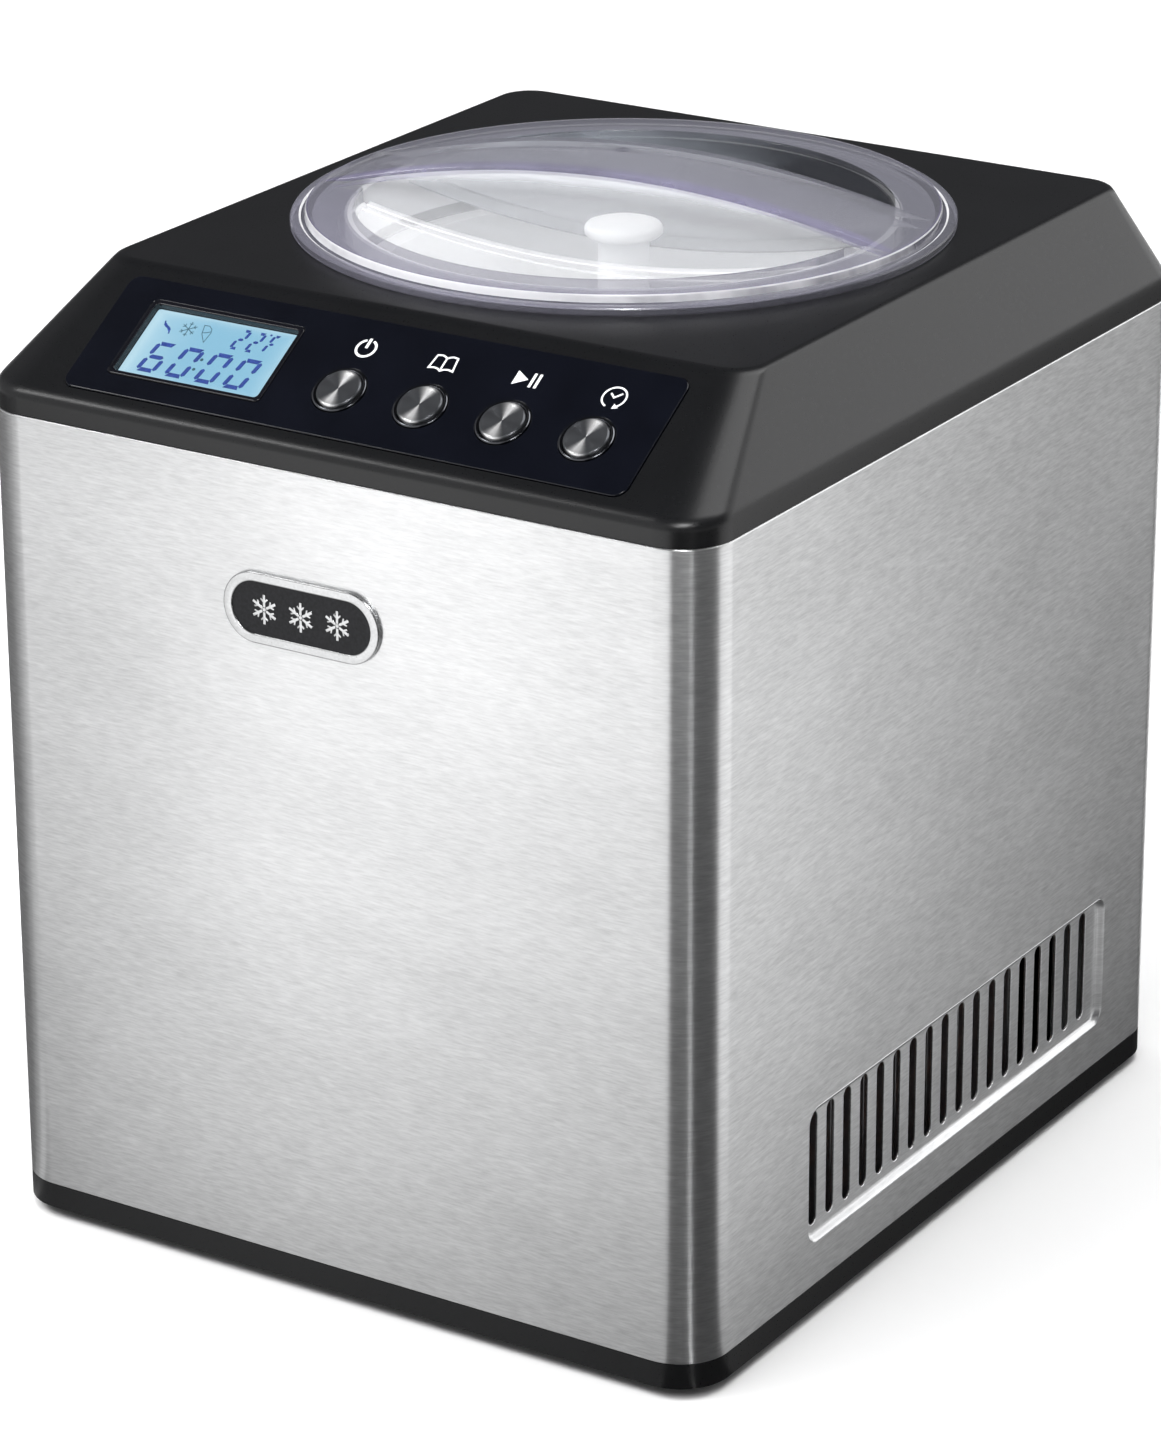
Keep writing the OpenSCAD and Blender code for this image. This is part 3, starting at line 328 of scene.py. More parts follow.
def material(name, colour, rough, tone=0.08, tone_scale=40, fine=900, bump=0.1, depth=0.00005,
             stretch=(1, 1, 1), rough_by=0.06, **sockets):
    """A Principled material with tone, roughness and relief from noise."""
    mat, tree, shader = new_material(name, sockets)
    coarse = noise(tree, tone_scale, stretch)
    grain = noise(tree, fine, stretch)
    tree.links.new(tint(tree, coarse, shaded(colour, 1 - tone), shaded(colour, 1 + tone)),
                   shader.inputs["Base Color"])
    tree.links.new(spread(tree, grain, rough - rough_by, rough + rough_by), shader.inputs["Roughness"])
    relief = node(tree, "ShaderNodeBump", {"Height": grain, "Strength": bump, "Distance": depth})
    tree.links.new(relief.outputs["Normal"], shader.inputs["Normal"])
    return mat


def brushed(name, colour, rough):
    """Sheet metal brushed level: short fine scratches that run round the body."""
    along, across, contrast = 170, 1500, 0.15
    mat, tree, shader = new_material(name, {"Metallic": 1.0, "Anisotropic": 0.8, "Anisotropic_Rotation": 0.25})
    fine = noise(tree, 1, (along, along, across), 4, 0.62)
    broad = noise(tree, 1, (along * 0.6, along * 0.6, across / 3), 3, 0.6)
    cloud = noise(tree, 14, (1, 1, 2), 2)
    mixed = maths(tree, "MULTIPLY_ADD", maths(tree, "ADD", broad, cloud), 0.35, fine)
    dark, light = shaded(colour, 1 - contrast), shaded(colour, 1 + contrast)
    tree.links.new(tint(tree, spread(tree, mixed, 0, 1, 0.6, 1.1), dark, light, 0.0, 1.0),
                   shader.inputs["Base Color"])
    tree.links.new(spread(tree, fine, rough - 0.025, rough + 0.025), shader.inputs["Roughness"])
    relief = node(tree, "ShaderNodeBump", {"Height": mixed, "Strength": 0.05, "Distance": 0.00006})
    tree.links.new(relief.outputs["Normal"], shader.inputs["Normal"])
    return mat


def spun_with_painted_highlight(name, colour, rough):
    """Turned metal: rings about the piece's own Z axis, with a painted highlight: paler bow-tie wedges along its Y
    axis painted into the colour.
    """
    mat, tree, shader = new_material(name, {"Metallic": 0.9, "Anisotropic": 0.8, "Anisotropic_Rotation": 0.25})
    place = node(tree, "ShaderNodeTexCoord").outputs["Object"]
    flat = node(tree, "ShaderNodeMapping", {"Vector": place, "Scale": (1, 1, 0)}).outputs["Vector"]
    radius = node(tree, "ShaderNodeVectorMath", {0: flat}, operation="LENGTH").outputs["Value"]
    rows = node(tree, "ShaderNodeCombineXYZ", {"X": radius}).outputs["Vector"]
    grooves = node(tree, "ShaderNodeTexNoise", {"Vector": rows, "Scale": 2600, "Detail": 2.0}).outputs["Fac"]
    unit = node(tree, "ShaderNodeVectorMath", {0: flat}, operation="NORMALIZE").outputs["Vector"]
    # painted highlight: the colour is made paler along the piece's Y axis, standing in for the bow-tie gloss that
    # lamps give turned metal
    along = node(tree, "ShaderNodeVectorMath", {0: unit, 1: (0.06, 1, 0)}, operation="DOT_PRODUCT").outputs["Value"]
    painted_fan = maths(tree, "POWER", maths(tree, "ABSOLUTE", along), 14.0)
    painted_fan = maths(tree, "ADD", painted_fan, spread(tree, grooves, -0.06, 0.06))
    tree.links.new(tint(tree, painted_fan, shaded(colour, 0.55), shaded(colour, 4.0), 0.05, 0.9),
                   shader.inputs["Base Color"])
    tree.links.new(spread(tree, grooves, rough - 0.03, rough + 0.03), shader.inputs["Roughness"])
    turn = node(tree, "ShaderNodeTangent", direction_type="RADIAL", axis="Z")
    tree.links.new(turn.outputs["Tangent"], shader.inputs["Tangent"])
    return mat


BLACK = (0.0045, 0.0047, 0.0053)
MATERIALS = {
    "housing_plastic": material("housing_plastic", BLACK, 0.3, fine=1500, bump=0.06, rough_by=0.03),
    "brushed_sheet": brushed("brushed_sheet", (0.83, 0.835, 0.84), 0.33),
    "rear_plastic": material("rear_plastic", (0.014, 0.0145, 0.0155), 0.5, fine=1300, bump=0.3),
    "foot_rubber": material("foot_rubber", (0.012, 0.012, 0.012), 0.75, fine=1800, bump=0.3),
    "zinc_screw": material("zinc_screw", (0.55, 0.56, 0.58), 0.3, fine=2500, bump=0.1, Metallic=1.0),
    "overlay_gloss": material("overlay_gloss", (0.003, 0.0035, 0.006), 0.07, tone=0.2, fine=300, bump=0.01,
                              rough_by=0.02),
    "bezel_gloss": material("bezel_gloss", (0.004, 0.004, 0.006), 0.16, tone=0.2, fine=600, bump=0.03,
                            rough_by=0.03),
    "lens_clear": material("lens_clear", (0.06, 0.07, 0.08), 0.04, fine=200, bump=0.0, rough_by=0.01, Alpha=0.05),
    "circuit_board": material("circuit_board", (0.015, 0.13, 0.055), 0.35, tone=0.3, tone_scale=260, fine=700,
                              bump=0.2),
    "switch_metal": material("switch_metal", (0.6, 0.61, 0.62), 0.32, Metallic=1.0),
    "dark_chrome": material("dark_chrome", (0.16, 0.165, 0.18), 0.16, fine=1800, bump=0.03, Metallic=1.0),
    "button_metal": spun_with_painted_highlight("button_metal", (0.25, 0.26, 0.28), 0.36),
    "badge_chrome": material("badge_chrome", (0.60, 0.605, 0.61), 0.22, tone=0.04, fine=1200, bump=0.05,
                             Metallic=1.0),
    "badge_black": material("badge_black", (0.007, 0.0072, 0.009), 0.4, tone=0.6, tone_scale=900, fine=1600,
                            bump=0.25, Specular_IOR_Level=0.3),
    "well_aluminium": material("well_aluminium", (0.66, 0.67, 0.68), 0.4, stretch=(1, 1, 6), Metallic=1.0),
    "copper_tube": material("copper_tube", (0.65, 0.29, 0.16), 0.28, tone=0.18, tone_scale=90, Metallic=1.0),
    "copper_line": material("copper_line", (0.66, 0.30, 0.17), 0.26, tone=0.18, tone_scale=90, Metallic=1.0),
    "drier_copper": material("drier_copper", (0.63, 0.31, 0.18), 0.3, tone=0.2, tone_scale=120, Metallic=1.0),
    "foam": material("foam", (0.76, 0.69, 0.45), 0.85, tone=0.12, tone_scale=140, fine=420, bump=0.6,
                     depth=0.0004),
    "silicone_grey": material("silicone_grey", (0.16, 0.16, 0.17), 0.55, fine=1200),
    "bowl_steel": material("bowl_steel", (0.80, 0.805, 0.81), 0.3, tone=0.03, tone_scale=30, fine=30,
                           bump=0.0, rough_by=0.004, stretch=(1, 1, 5), Metallic=0.72),
    "white_plastic": material("white_plastic", (0.92, 0.925, 0.93), 0.32, tone=0.02, fine=1300, bump=0.02),
    "ground_steel": material("ground_steel", (0.56, 0.57, 0.58), 0.2, stretch=(1, 1, 12), Metallic=1.0),
    "nylon_gear": material("nylon_gear", (0.8, 0.78, 0.69), 0.45, fine=800, Subsurface_Weight=0.1),
    "gearbox_plastic": material("gearbox_plastic", (0.02, 0.021, 0.023), 0.48, fine=900, bump=0.3),
    "bronze_bush": material("bronze_bush", (0.5, 0.33, 0.12), 0.35, tone_scale=200, Metallic=1.0),
    "motor_can": material("motor_can", (0.36, 0.37, 0.39), 0.33, stretch=(1, 1, 8), Metallic=1.0),
    "deck_plastic": material("deck_plastic", (0.27, 0.28, 0.29), 0.42, tone=0.1, tone_scale=500, fine=700),
    "compressor_paint": material("compressor_paint", (0.01, 0.01, 0.011), 0.3, fine=350, bump=0.35,
                                 depth=0.0002),
    "pump_iron": material("pump_iron", (0.17, 0.17, 0.175), 0.6, tone=0.2, tone_scale=160, fine=420, bump=0.7,
                          depth=0.0003, Metallic=1.0),
    "fan_plastic": material("fan_plastic", (0.013, 0.013, 0.015), 0.4, fine=900),
    "inlet_plastic": material("inlet_plastic", (0.009, 0.009, 0.010), 0.4, fine=1100, bump=0.2),
    "ribbon": material("ribbon", (0.42, 0.43, 0.45), 0.5, tone=0.2, tone_scale=600, stretch=(4, 0.3, 0.3)),
    "lcd_blue": material("lcd_blue", (0.30, 0.62, 0.80), 0.4, tone=0.03, fine=900, bump=0.02),
}


def lid_plastic(name, colour, rough, tone, alpha, tone_scale=30, stretch=(1, 1, 1)):
    """Thin see-through plastic: how much of it shows is its alpha."""
    return material(name, colour, rough, tone=tone, tone_scale=tone_scale, fine=60, bump=0.0, rough_by=0.02,
                    stretch=stretch, Alpha=alpha, IOR=1.6)


def paint_light_along(mat, dark, light, low, high, cloud=0.16, way=(-1.5, -8.7, 0), stretch=(1, 2.5, 1)):
    """Paints light into a lid material: paler one way, to its front if nothing is said, with soft clouds."""
    tree = mat.node_tree
    place = node(tree, "ShaderNodeTexCoord").outputs["Object"]
    along = node(tree, "ShaderNodeVectorMath", {0: place, 1: way}, operation="DOT_PRODUCT")
    clouds = spread(tree, noise(tree, 26, stretch), -cloud, cloud)
    place = maths(tree, "ADD", along.outputs["Value"], clouds)
    tree.links.new(tint(tree, spread(tree, place, 0, 1, low, high), dark, light, 0.0, 1.0),
                   tree.nodes["Principled BSDF"].inputs["Base Color"])
    return mat


def painted_band_wall(mat):
    """The handle's clear wall with painted highlights: painted white at its top and foot, with a grey band between
    that follows the arch.
    """
    tree = mat.node_tree
    place = node(tree, "ShaderNodeTexCoord").outputs["Object"]
    parts = node(tree, "ShaderNodeSeparateXYZ", {"Vector": place})
    along = maths(tree, "MULTIPLY", parts.outputs["X"], 1000 / 104)
    arch = maths(tree, "MULTIPLY_ADD", maths(tree, "MULTIPLY", along, along), -0.0153, 0.0153)
    share = maths(tree, "DIVIDE", maths(tree, "SUBTRACT", parts.outputs["Z"], 0.0057), arch)
    share = maths(tree, "ADD", share, spread(tree, noise(tree, 16, (0.7, 1, 9)), -0.22, 0.22))
    painted_bands = node(tree, "ShaderNodeValToRGB", {"Fac": spread(tree, share, 0, 1, -0.6, 1.1)})
    ramp = painted_bands.color_ramp.elements
    while len(ramp) < 5:
        ramp.new(0.5)
    for stop, (at, level) in zip(ramp, ((0.0, 0.62), (0.32, 0.5), (0.52, 0.4), (0.72, 0.58), (0.86, 0.95))):
        stop.position, stop.color = at, (level, level * 1.015, level * 1.05, 1)
    tree.links.new(painted_bands.outputs["Color"], tree.nodes["Principled BSDF"].inputs["Base Color"])
    return mat


# The lid's main look has painted light: it is painted paler towards its front.
MATERIALS["clear_lid"] = paint_light_along(lid_plastic("clear_lid", (0.5, 0.5, 0.5), 0.12, 0.1, 0.54),
                                     (0.155, 0.155, 0.183), (0.225, 0.22, 0.275), -0.05, 1.0)
# The lid's looks paint light and shade: the white one (recess front and skirt) is painted light, the shady one
# painted shade that is paler to the left, the rim one painted paler to the front, the glint a painted highlight,
# the wall one painted with highlight stripes, the edge one a painted dark edge line, and the line one a painted
# dark groove line, also used for the handle's small mark.
MILKY, PAINTED_LIGHT, SHADY, WALL, EDGE, RIM, LINE, GLINT = range(8)  # places in LID_LOOKS
LID_LOOKS = [MATERIALS["clear_lid"],
             lid_plastic("lid_painted_light", (0.92, 0.925, 0.945), 0.05, 0.06, 0.38, 34, (1, 3, 1)),
             paint_light_along(lid_plastic("lid_shady", (0.01, 0.01, 0.02), 0.07, 0.1, 0.78), (0.004, 0.005, 0.008),
                         (0.17, 0.185, 0.21), -0.45, 0.7, 0.3, (-10, -1, 0), (0.6, 2.5, 1)),
             painted_band_wall(lid_plastic("lid_wall", (0.8, 0.8, 0.8), 0.08, 0.1, 0.34)),
             lid_plastic("lid_edge", (0.15, 0.14, 0.215), 0.1, 0.3, 0.66),
             paint_light_along(lid_plastic("lid_rim", (0.5, 0.5, 0.5), 0.08, 0.1, 0.8), (0.07, 0.068, 0.10),
                         (0.74, 0.74, 0.77), -0.1, 0.75, 0.3),
             lid_plastic("lid_line", (0.10, 0.10, 0.125), 0.1, 0.4, 0.7),
             lid_plastic("lid_glint", (0.86, 0.86, 0.88), 0.06, 0.15, 0.7, 60)]
ICON_WHITE = material("icon_print", (0.85, 0.86, 0.87), 0.45, tone=0.03, fine=2000, bump=0.05)
DIGIT_BLUE = material("lcd_ink", (0.006, 0.03, 0.19), 0.6, tone=0.15, tone_scale=500, fine=2000, bump=0.02)
ICON_DARK = material("lcd_ink_dark", (0.02, 0.07, 0.10), 0.5, tone=0.15, tone_scale=500, fine=2000, bump=0.02)


def lcd_glow():
    """The lit display: even cyan blue, paler towards its edges and its left end."""
    mat, tree, shader = new_material("lcd_glow", {"Roughness": 0.35, "Emission_Strength": 1.0,
                                                  "Base_Color": (0.02, 0.03, 0.035, 1)})
    place = node(tree, "ShaderNodeTexCoord").outputs["Object"]
    scaled = node(tree, "ShaderNodeMapping", {"Vector": place, "Scale": (1000 / 28, 1000 / 14.4, 1)}).outputs[0]
    parts = node(tree, "ShaderNodeSeparateXYZ", {"Vector": scaled})
    edge = maths(tree, "MAXIMUM", *(maths(tree, "ABSOLUTE", parts.outputs[k]) for k in (0, 1)))
    edge = maths(tree, "POWER", edge, 9.0)
    left = spread(tree, parts.outputs[0], 0.55, 0.0, -1.0, -0.2)
    both = maths(tree, "ADD", edge, left, use_clamp=True)
    both = maths(tree, "ADD", both, spread(tree, noise(tree, 120), -0.06, 0.06), use_clamp=True)
    glow = tint(tree, both, (0.25, 0.53, 0.72), (0.50, 0.74, 0.86), 0.0, 1.0)
    tree.links.new(glow, shader.inputs["Emission Color"])
    return mat


LCD_GLOW = lcd_glow()

# ---------------------------------------------------------------- CAD nodes that are shown as they are

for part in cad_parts.values():
    for holder in part.material_slots:
        slot_name = holder.material.name.split(".")[0] if holder.material else ""
        if slot_name in MATERIALS:
            holder.material = MATERIALS[slot_name]

# ---------------------------------------------------------------- black top housing


def housing_loop(f, extra):
    """The housing's outline where it has climbed the share f of its slopes, moved in by extra."""
    return rounded(-HALF_W + f * INSET["side"] + extra, HALF_W - f * INSET["side"] - extra,
                   -HALF_D + f * INSET["front"] + extra, HALF_D - f * INSET["back"] - extra,
                   max(2, CORNER_R - 6 * f - extra * 0.7), 10, 16)


def housing_mesh():
    profile = [(0, 0.7, BAND_Z), (0, 0.2, BAND_Z + 0.15), (0, 0, BAND_Z + 0.6)]
    profile += bezier((0, 0, SLOPE_Z - 2.6), (0, 0, SLOPE_Z), (0.06, 0, SLOPE_Z + 0.06 * SLOPE_H), 7)
    profile += bezier((0.06, 0, SLOPE_Z + 0.06 * SLOPE_H), (0.5, 0, SLOPE_Z + 0.5 * SLOPE_H),
                      (0.945, 0, SLOPE_Z + 0.945 * SLOPE_H), 1)
    profile += bezier((0.945, 0, SLOPE_Z + 0.945 * SLOPE_H), (1, 0, TOP_Z), (1, 2.4, TOP_Z), 7)
    profile += [(1, 2.4, TOP_Z)]
    rows = [[(x, y, z) for x, y in housing_loop(f, extra)] for f, extra, z in profile]
    turns = [math.atan2(y - WELL_Y, x) for x, y, _ in rows[-1]]
    for r, z in ((COLLAR_R + 1, TOP_Z), (COLLAR_R + 0.3, TOP_Z - 0.3), (COLLAR_R, TOP_Z - 1), (COLLAR_R, LEDGE_Z),
                 (87.5, LEDGE_Z), (87.5, LEDGE_Z - 2.7), (COLLAR_R + 2.8, LEDGE_Z - 2.7),
                 (COLLAR_R + 2.8, TOP_Z - 2.8)):
        rows.append([(r * math.cos(a), WELL_Y + r * math.sin(a), z) for a in turns])
    for f, extra, z in ((1, 4, TOP_Z - 2.8), (0, 4.6, SLOPE_Z - 1), (0, 4, BAND_Z)):
        rows.append([(x, y, z) for x, y in housing_loop(f, extra)])
    shape = Shape()
    shape.rows(rows, True, True)
    cutters = []
    for outlines, low in (([centred(0, OVERLAY["s"], OVERLAY["w"] + 0.5, OVERLAY["d"] + 0.5, 4.7)], OVERLAY["low"]),
                          ([centred(SCREEN["x"], SCREEN["s"], BEZEL[0] + 0.4, BEZEL[1] + 0.4, 2.2)], -8),
                          ([arc(x, BUTTON_S, RING_R + 0.15, 0, 352.5, 47) for x in BUTTONS.values()], -8)):
        tool = Shape()
        for loop in outlines:
            tool.prism(loop, low, 6)
        cutters.append(mesh_of(tool, "tool", SLOPE))
    return cut(mesh_of(shape, "housing"), cutters)


piece("housing_cover", housing_mesh(), "housing", "housing_plastic", ["top_housing"])

# ---------------------------------------------------------------- steel wrapper and its vents


def sheet_path(off):
    """The wrapper's plan line, from its rear left edge round the front to its rear right edge."""
    r, x, y = CORNER_R - off, HALF_W - CORNER_R, HALF_D - CORNER_R
    line = [(-110, HALF_D - off)]
    line += arc(-x, y, r, 90, 180, 20) + arc(-x, -y, r, 180, 270, 20)
    line += arc(x, -y, r, 270, 360, 20) + arc(x, y, r, 0, 90, 20)
    return line + [(110, HALF_D - off)]


def side_matrix(side):
    """Takes x along the depth, y up and z outwards to the outer face of one side."""
    return Matrix(((0, 0, side, side * HALF_W * MM), (1, 0, 0, 0), (0, 1, 0, 0), (0, 0, 0, 1)))


def vent_loop(grow):
    """Outline of a side's vent pan, grown by so much all round."""
    (y0, y1), (z0, z1) = VENT["y"], VENT["z"]
    return rounded(y0 - grow, y1 + grow, z0 - grow, z1 + grow, max(1.2, VENT["r"] + grow), 8, 12)


def steel_mesh():
    z0, z1 = STEEL_Z
    section = [(0, z0 + 0.3), (0, z1 - 0.55), (0.12, z1 - 0.2), (0.4, z1), (1, z1), (1, z0), (0.3, z0)]
    shape = Shape()
    ids = shape.rows([[(x, y, z) for x, y in sheet_path(off)] for off, z in section], ring=True)
    for end in (0, -1):
        shape.face([row[end] for row in ids])
    cutters = []
    for side in (-1, 1):
        tool = Shape()
        tool.prism(vent_loop(0.02), -6, 3)
        cutters.append(mesh_of(tool, "tool", side_matrix(side)))
    return cut(mesh_of(shape, "steel"), cutters)


def vent_mesh(side):
    """The pressed pan with its round-ended slots."""
    depth = VENT["depth"]
    profile = [(0, -0.9), (0, -0.1), (-0.2, 0.0), (-0.55, -0.14), (-1.0, -0.7), (-1.7, -1.55), (-2.2, -1.88),
               (-2.9, -depth), (-2.9, -depth - 0.9), (-1.2, -depth - 0.7)]
    rim = Shape()
    rim.rows([[(y, z, x) for y, z in vent_loop(grow)] for grow, x in profile], True, True)
    loops = [vent_loop(-2.5)]
    low, high = VENT["slot_z"]
    for i in range(VENT["count"]):
        loops.append(stadium(VENT["first"] + i * VENT["pitch"], (low + high) / 2, VENT["slot_w"], high - low))
    return joined([mesh_of(rim, "rim", side_matrix(side)),
                   plate(loops, -depth - 1.0, -depth, 0.28, side_matrix(side))], "vent")


piece("steel_shell", steel_mesh(), "housing", "brushed_sheet", ["steel_wrapper"])
for side, label in ((-1, "left"), (1, "right")):
    piece(f"vent_{label}", vent_mesh(side), "housing", "brushed_sheet")

# ---------------------------------------------------------------- control panel

ring_holes = [arc(x, BUTTON_S, RING_R + 0.12, 0, 354, 59) for x in BUTTONS.values()]
window_hole = centred(SCREEN["x"], SCREEN["s"], BEZEL[0] + 0.2, BEZEL[1] + 0.2, 2.1)
piece("panel_overlay",
      plate([centred(0, OVERLAY["s"], OVERLAY["w"], OVERLAY["d"], 4.5), window_hole] + ring_holes,
            OVERLAY["low"], OVERLAY["high"], 0.3),
      "housing", "overlay_gloss", ["control_overlay"], SLOPE)

SCREEN_AT = SLOPE @ Matrix.Translation((SCREEN["x"] * MM, SCREEN["s"] * MM, 0))
piece("screen_bezel", plate([centred(0, 0, *BEZEL, 2), centred(0, 0, WINDOW[0] + 0.2, WINDOW[1] + 0.2, 1.4)],
                            -2.6, 0.9, 0.35),
      "housing", "bezel_gloss", ["display_bezel"], SCREEN_AT)

lcd = Shape()
lcd.prism(centred(0, 0, WINDOW[0] - 0.3, WINDOW[1] - 0.3, 1.2), -1.6, -1.5)
piece("screen_face", mesh_of(lcd, "lcd"), "housing", "lcd_blue", matrix=SCREEN_AT, looks=[LCD_GLOW])

SLANT = 0.184
INK_LOW, INK_HIGH = -1.5, -1.42
SEGMENTS = {"0": "abcdef", "2": "abged", "6": "afgecd", "F": "afge"}


def digit(shape, char, x0, y0, w, h, t, mat=0):
    """A leaning seven-segment figure, its lower left corner at x0, y0."""
    mid, gap = h / 2, 0.09 * t + 0.12
    bars = {"a": (0, h - t, w, h), "d": (0, 0, w, t), "g": (0, mid - t / 2, w, mid + t / 2),
            "f": (0, mid, t, h), "b": (w - t, mid, w, h), "e": (0, 0, t, mid), "c": (w - t, 0, w, mid)}
    for name in SEGMENTS[char]:
        ax, ay, bx, by = bars[name]
        if name in "adg":
            inset = t * 0.5 + gap
            cut_in = t * 0.45
            y_mid = (ay + by) / 2
            if name == "g":
                loop = [(ax + inset, y_mid), (ax + inset + cut_in, ay), (bx - inset - cut_in, ay),
                        (bx - inset, y_mid), (bx - inset - cut_in, by), (ax + inset + cut_in, by)]
            elif name == "a":
                loop = [(ax + inset, by), (ax + inset + cut_in, ay), (bx - inset - cut_in, ay), (bx - inset, by)]
            else:
                loop = [(ax + inset + cut_in, by), (ax + inset, ay), (bx - inset, ay), (bx - inset - cut_in, by)]
        else:
            inner = t * 0.4
            low, high = ay + gap + t * 0.35, by - gap - t * 0.35
            loop = [(ax, low + inner), (ax + t * 0.5, low), (bx, low + inner), (bx, high - inner),
                    (ax + t * 0.5, high), (ax, high - inner)]
        shape.prism([(x0 + x + SLANT * y, y0 + y) for x, y in loop], INK_LOW, INK_HIGH, mat)


def snow_crystal(radius, arm):
    """Outline of a six-armed snow crystal."""
    side = [(arm, arm * 1.75), (arm, 0.48), (0.30, 0.66), (0.24, 0.78), (arm, 0.66), (arm, 1.0)]
    one = side + [(-x, y) for x, y in reversed(side)]
    loop = []
    for k in range(6):
        a = math.radians(60 * k)
        loop += [(radius * (x * math.cos(a) + y * math.sin(a)), radius * (y * math.cos(a) - x * math.sin(a)))
                 for x, y in one]
    return loop


figures = Shape()
for char, x in (("6", -22.5), ("0", -11.35), ("0", 0.1), ("0", 11.3)):
    digit(figures, char, x, -11.5, 7.7, 13.0, 1.6)
for x, y in ((-1.0, -2.5), (-1.6, -6.8)):
    figures.prism(arc(x, y, 0.6, 0, 330, 11), INK_LOW, INK_HIGH, 1)
for k, char in enumerate("22"):
    digit(figures, char, 5.4 + 5.85 * k, 3.9, 3.5, 8.6, 1.05)
figures.prism(arc(17.6, 12.2, 0.4, 0, 330, 11), INK_LOW, INK_HIGH)
digit(figures, "F", 17.4, 4.7, 3.1, 7.8, 1.0)
FLAKE_X, FLAKE_Y = -12.8, 8.4
for k in range(3):
    dx, dy = 3.1 * math.sin(math.radians(60 * k)), 3.1 * math.cos(math.radians(60 * k))
    figures.ribbon([(FLAKE_X - dx, FLAKE_Y - dy), (FLAKE_X + dx, FLAKE_Y + dy)], 0.26,
                   INK_LOW, INK_HIGH - 0.01 + 0.003 * k, mat=1)
    for end in (-0.62, 0.62):
        hub = Vector((FLAKE_X + end * dx, FLAKE_Y + end * dy))
        for turn in (50, -50):
            tip = Matrix.Rotation(math.radians(turn), 2) @ Vector((end * dx, end * dy)) * 0.5
            figures.ribbon([hub, hub + tip], 0.2, INK_LOW, INK_HIGH + 0.003 * k, mat=1)
CONE_X, CONE_Y = -6.4, 8.2
for line, closed in ((((-1.5, 2.9), (0.4, 3.0), (1.9, 1.9), (2.4, 0.3), (1.9, -3.8), (-0.6, -0.6)), True),
                     (((-0.7, -0.2), (0.6, 0.1), (2.2, 0.9)), False)):
    figures.ribbon([(CONE_X + x, CONE_Y + y) for x, y in line], 0.22, INK_LOW, INK_HIGH, closed, 1)
swirl = [(-22.7, 10.0), (-22.3, 8.9), (-21.2, 8.0), (-20.1, 7.5), (-19.2, 6.5), (-18.8, 5.2)]
for k, width in enumerate((0.5, 1.0, 0.9, 1.0, 0.5)):
    figures.ribbon(swirl[k:k + 2], width, INK_LOW, INK_HIGH)
piece("screen_figures", mesh_of(figures, "figures"), "housing", "lcd_blue", matrix=SCREEN_AT,
      looks=[DIGIT_BLUE, ICON_DARK])

icons = Shape()
ICON_Z = (OVERLAY["high"] - 0.02, OVERLAY["high"] + 0.05)
icons.ribbon(arc(-8.1, 43.2, 3.4, 112, 428, 40), 0.85, *ICON_Z)
icons.ribbon([(-8.2, 43.3), (-8.2, 47.3)], 1.0, *ICON_Z)
book = [(21.4, 45.2), (20.6, 45.8), (19.4, 46.2), (17.6, 45.9), (16.9, 40.6), (18.9, 41.0), (20.3, 40.7),
        (21.4, 40.0), (22.5, 40.7), (23.9, 41.0), (25.9, 40.6), (25.2, 45.9), (23.4, 46.2), (22.2, 45.8)]
icons.ribbon(book, 0.62, *ICON_Z, closed=True)
icons.ribbon([(21.4, 45.3), (21.4, 40.1)], 0.62, *ICON_Z)
icons.prism([(47.8, 46.0), (47.8, 40.3), (52.6, 43.15)], *ICON_Z)
for x in (54.2, 56.2):
    icons.ribbon([(x, 40.3), (x, 46.0)], 0.95, *ICON_Z)
icons.ribbon(arc(84.2, 42.7, 4.05, -58, 250, 44), 0.62, *ICON_Z)
icons.ribbon([(82.4, 44.1), (84.1, 42.6), (86.4, 44.6)], 0.6, *ICON_Z)
icons.prism([(85.3, 38.2), (87.4, 38.9), (85.5, 40.3)], *ICON_Z)
piece("panel_icons", mesh_of(icons, "icons"), "housing", "overlay_gloss", matrix=SLOPE,
      looks=[ICON_WHITE])

for key, x in BUTTONS.items():
    centre = SLOPE @ Matrix.Translation((x * MM, BUTTON_S * MM, 0))
    cap = Shape()
    dish = [(0.02, 1.62)] + [(r, 1.62 + 0.16 * (r / 6.2) ** 2) for r in (1.5, 3, 4.5, 5.6, 6.2)]
    lip = [(6.6, 1.88), (6.95, 1.87), (7.25, 1.72), (7.43, 1.45), (CAP_R, 1.1), (CAP_R, -3)]
    stem = [(8.7, -3), (8.7, -4.3), (2.6, -4.3), (2.6, -7), (0.02, -7)]
    cap.lathe(dish + lip + stem, 96)
    piece(f"key_{key}", mesh_of(cap, "cap"), f"{key}_key", "button_metal", [f"button_{key}"], centre, 30)
    collar = Shape()
    collar.lathe([(RING_R, -2.9), (RING_R, 0.75), (RING_R - 0.12, 1.05), (RING_R - 0.45, 1.26), (8.35, 1.3),
                  (7.98, 1.2), (CAP_R + 0.22, 0.9), (CAP_R + 0.2, -2.9)], 96, ring=True)
    piece(f"key_ring_{key}", mesh_of(collar, "collar"), "housing", "dark_chrome",
          ["button_rings"] if key == "power" else [], centre, 30)

# ---------------------------------------------------------------- badge

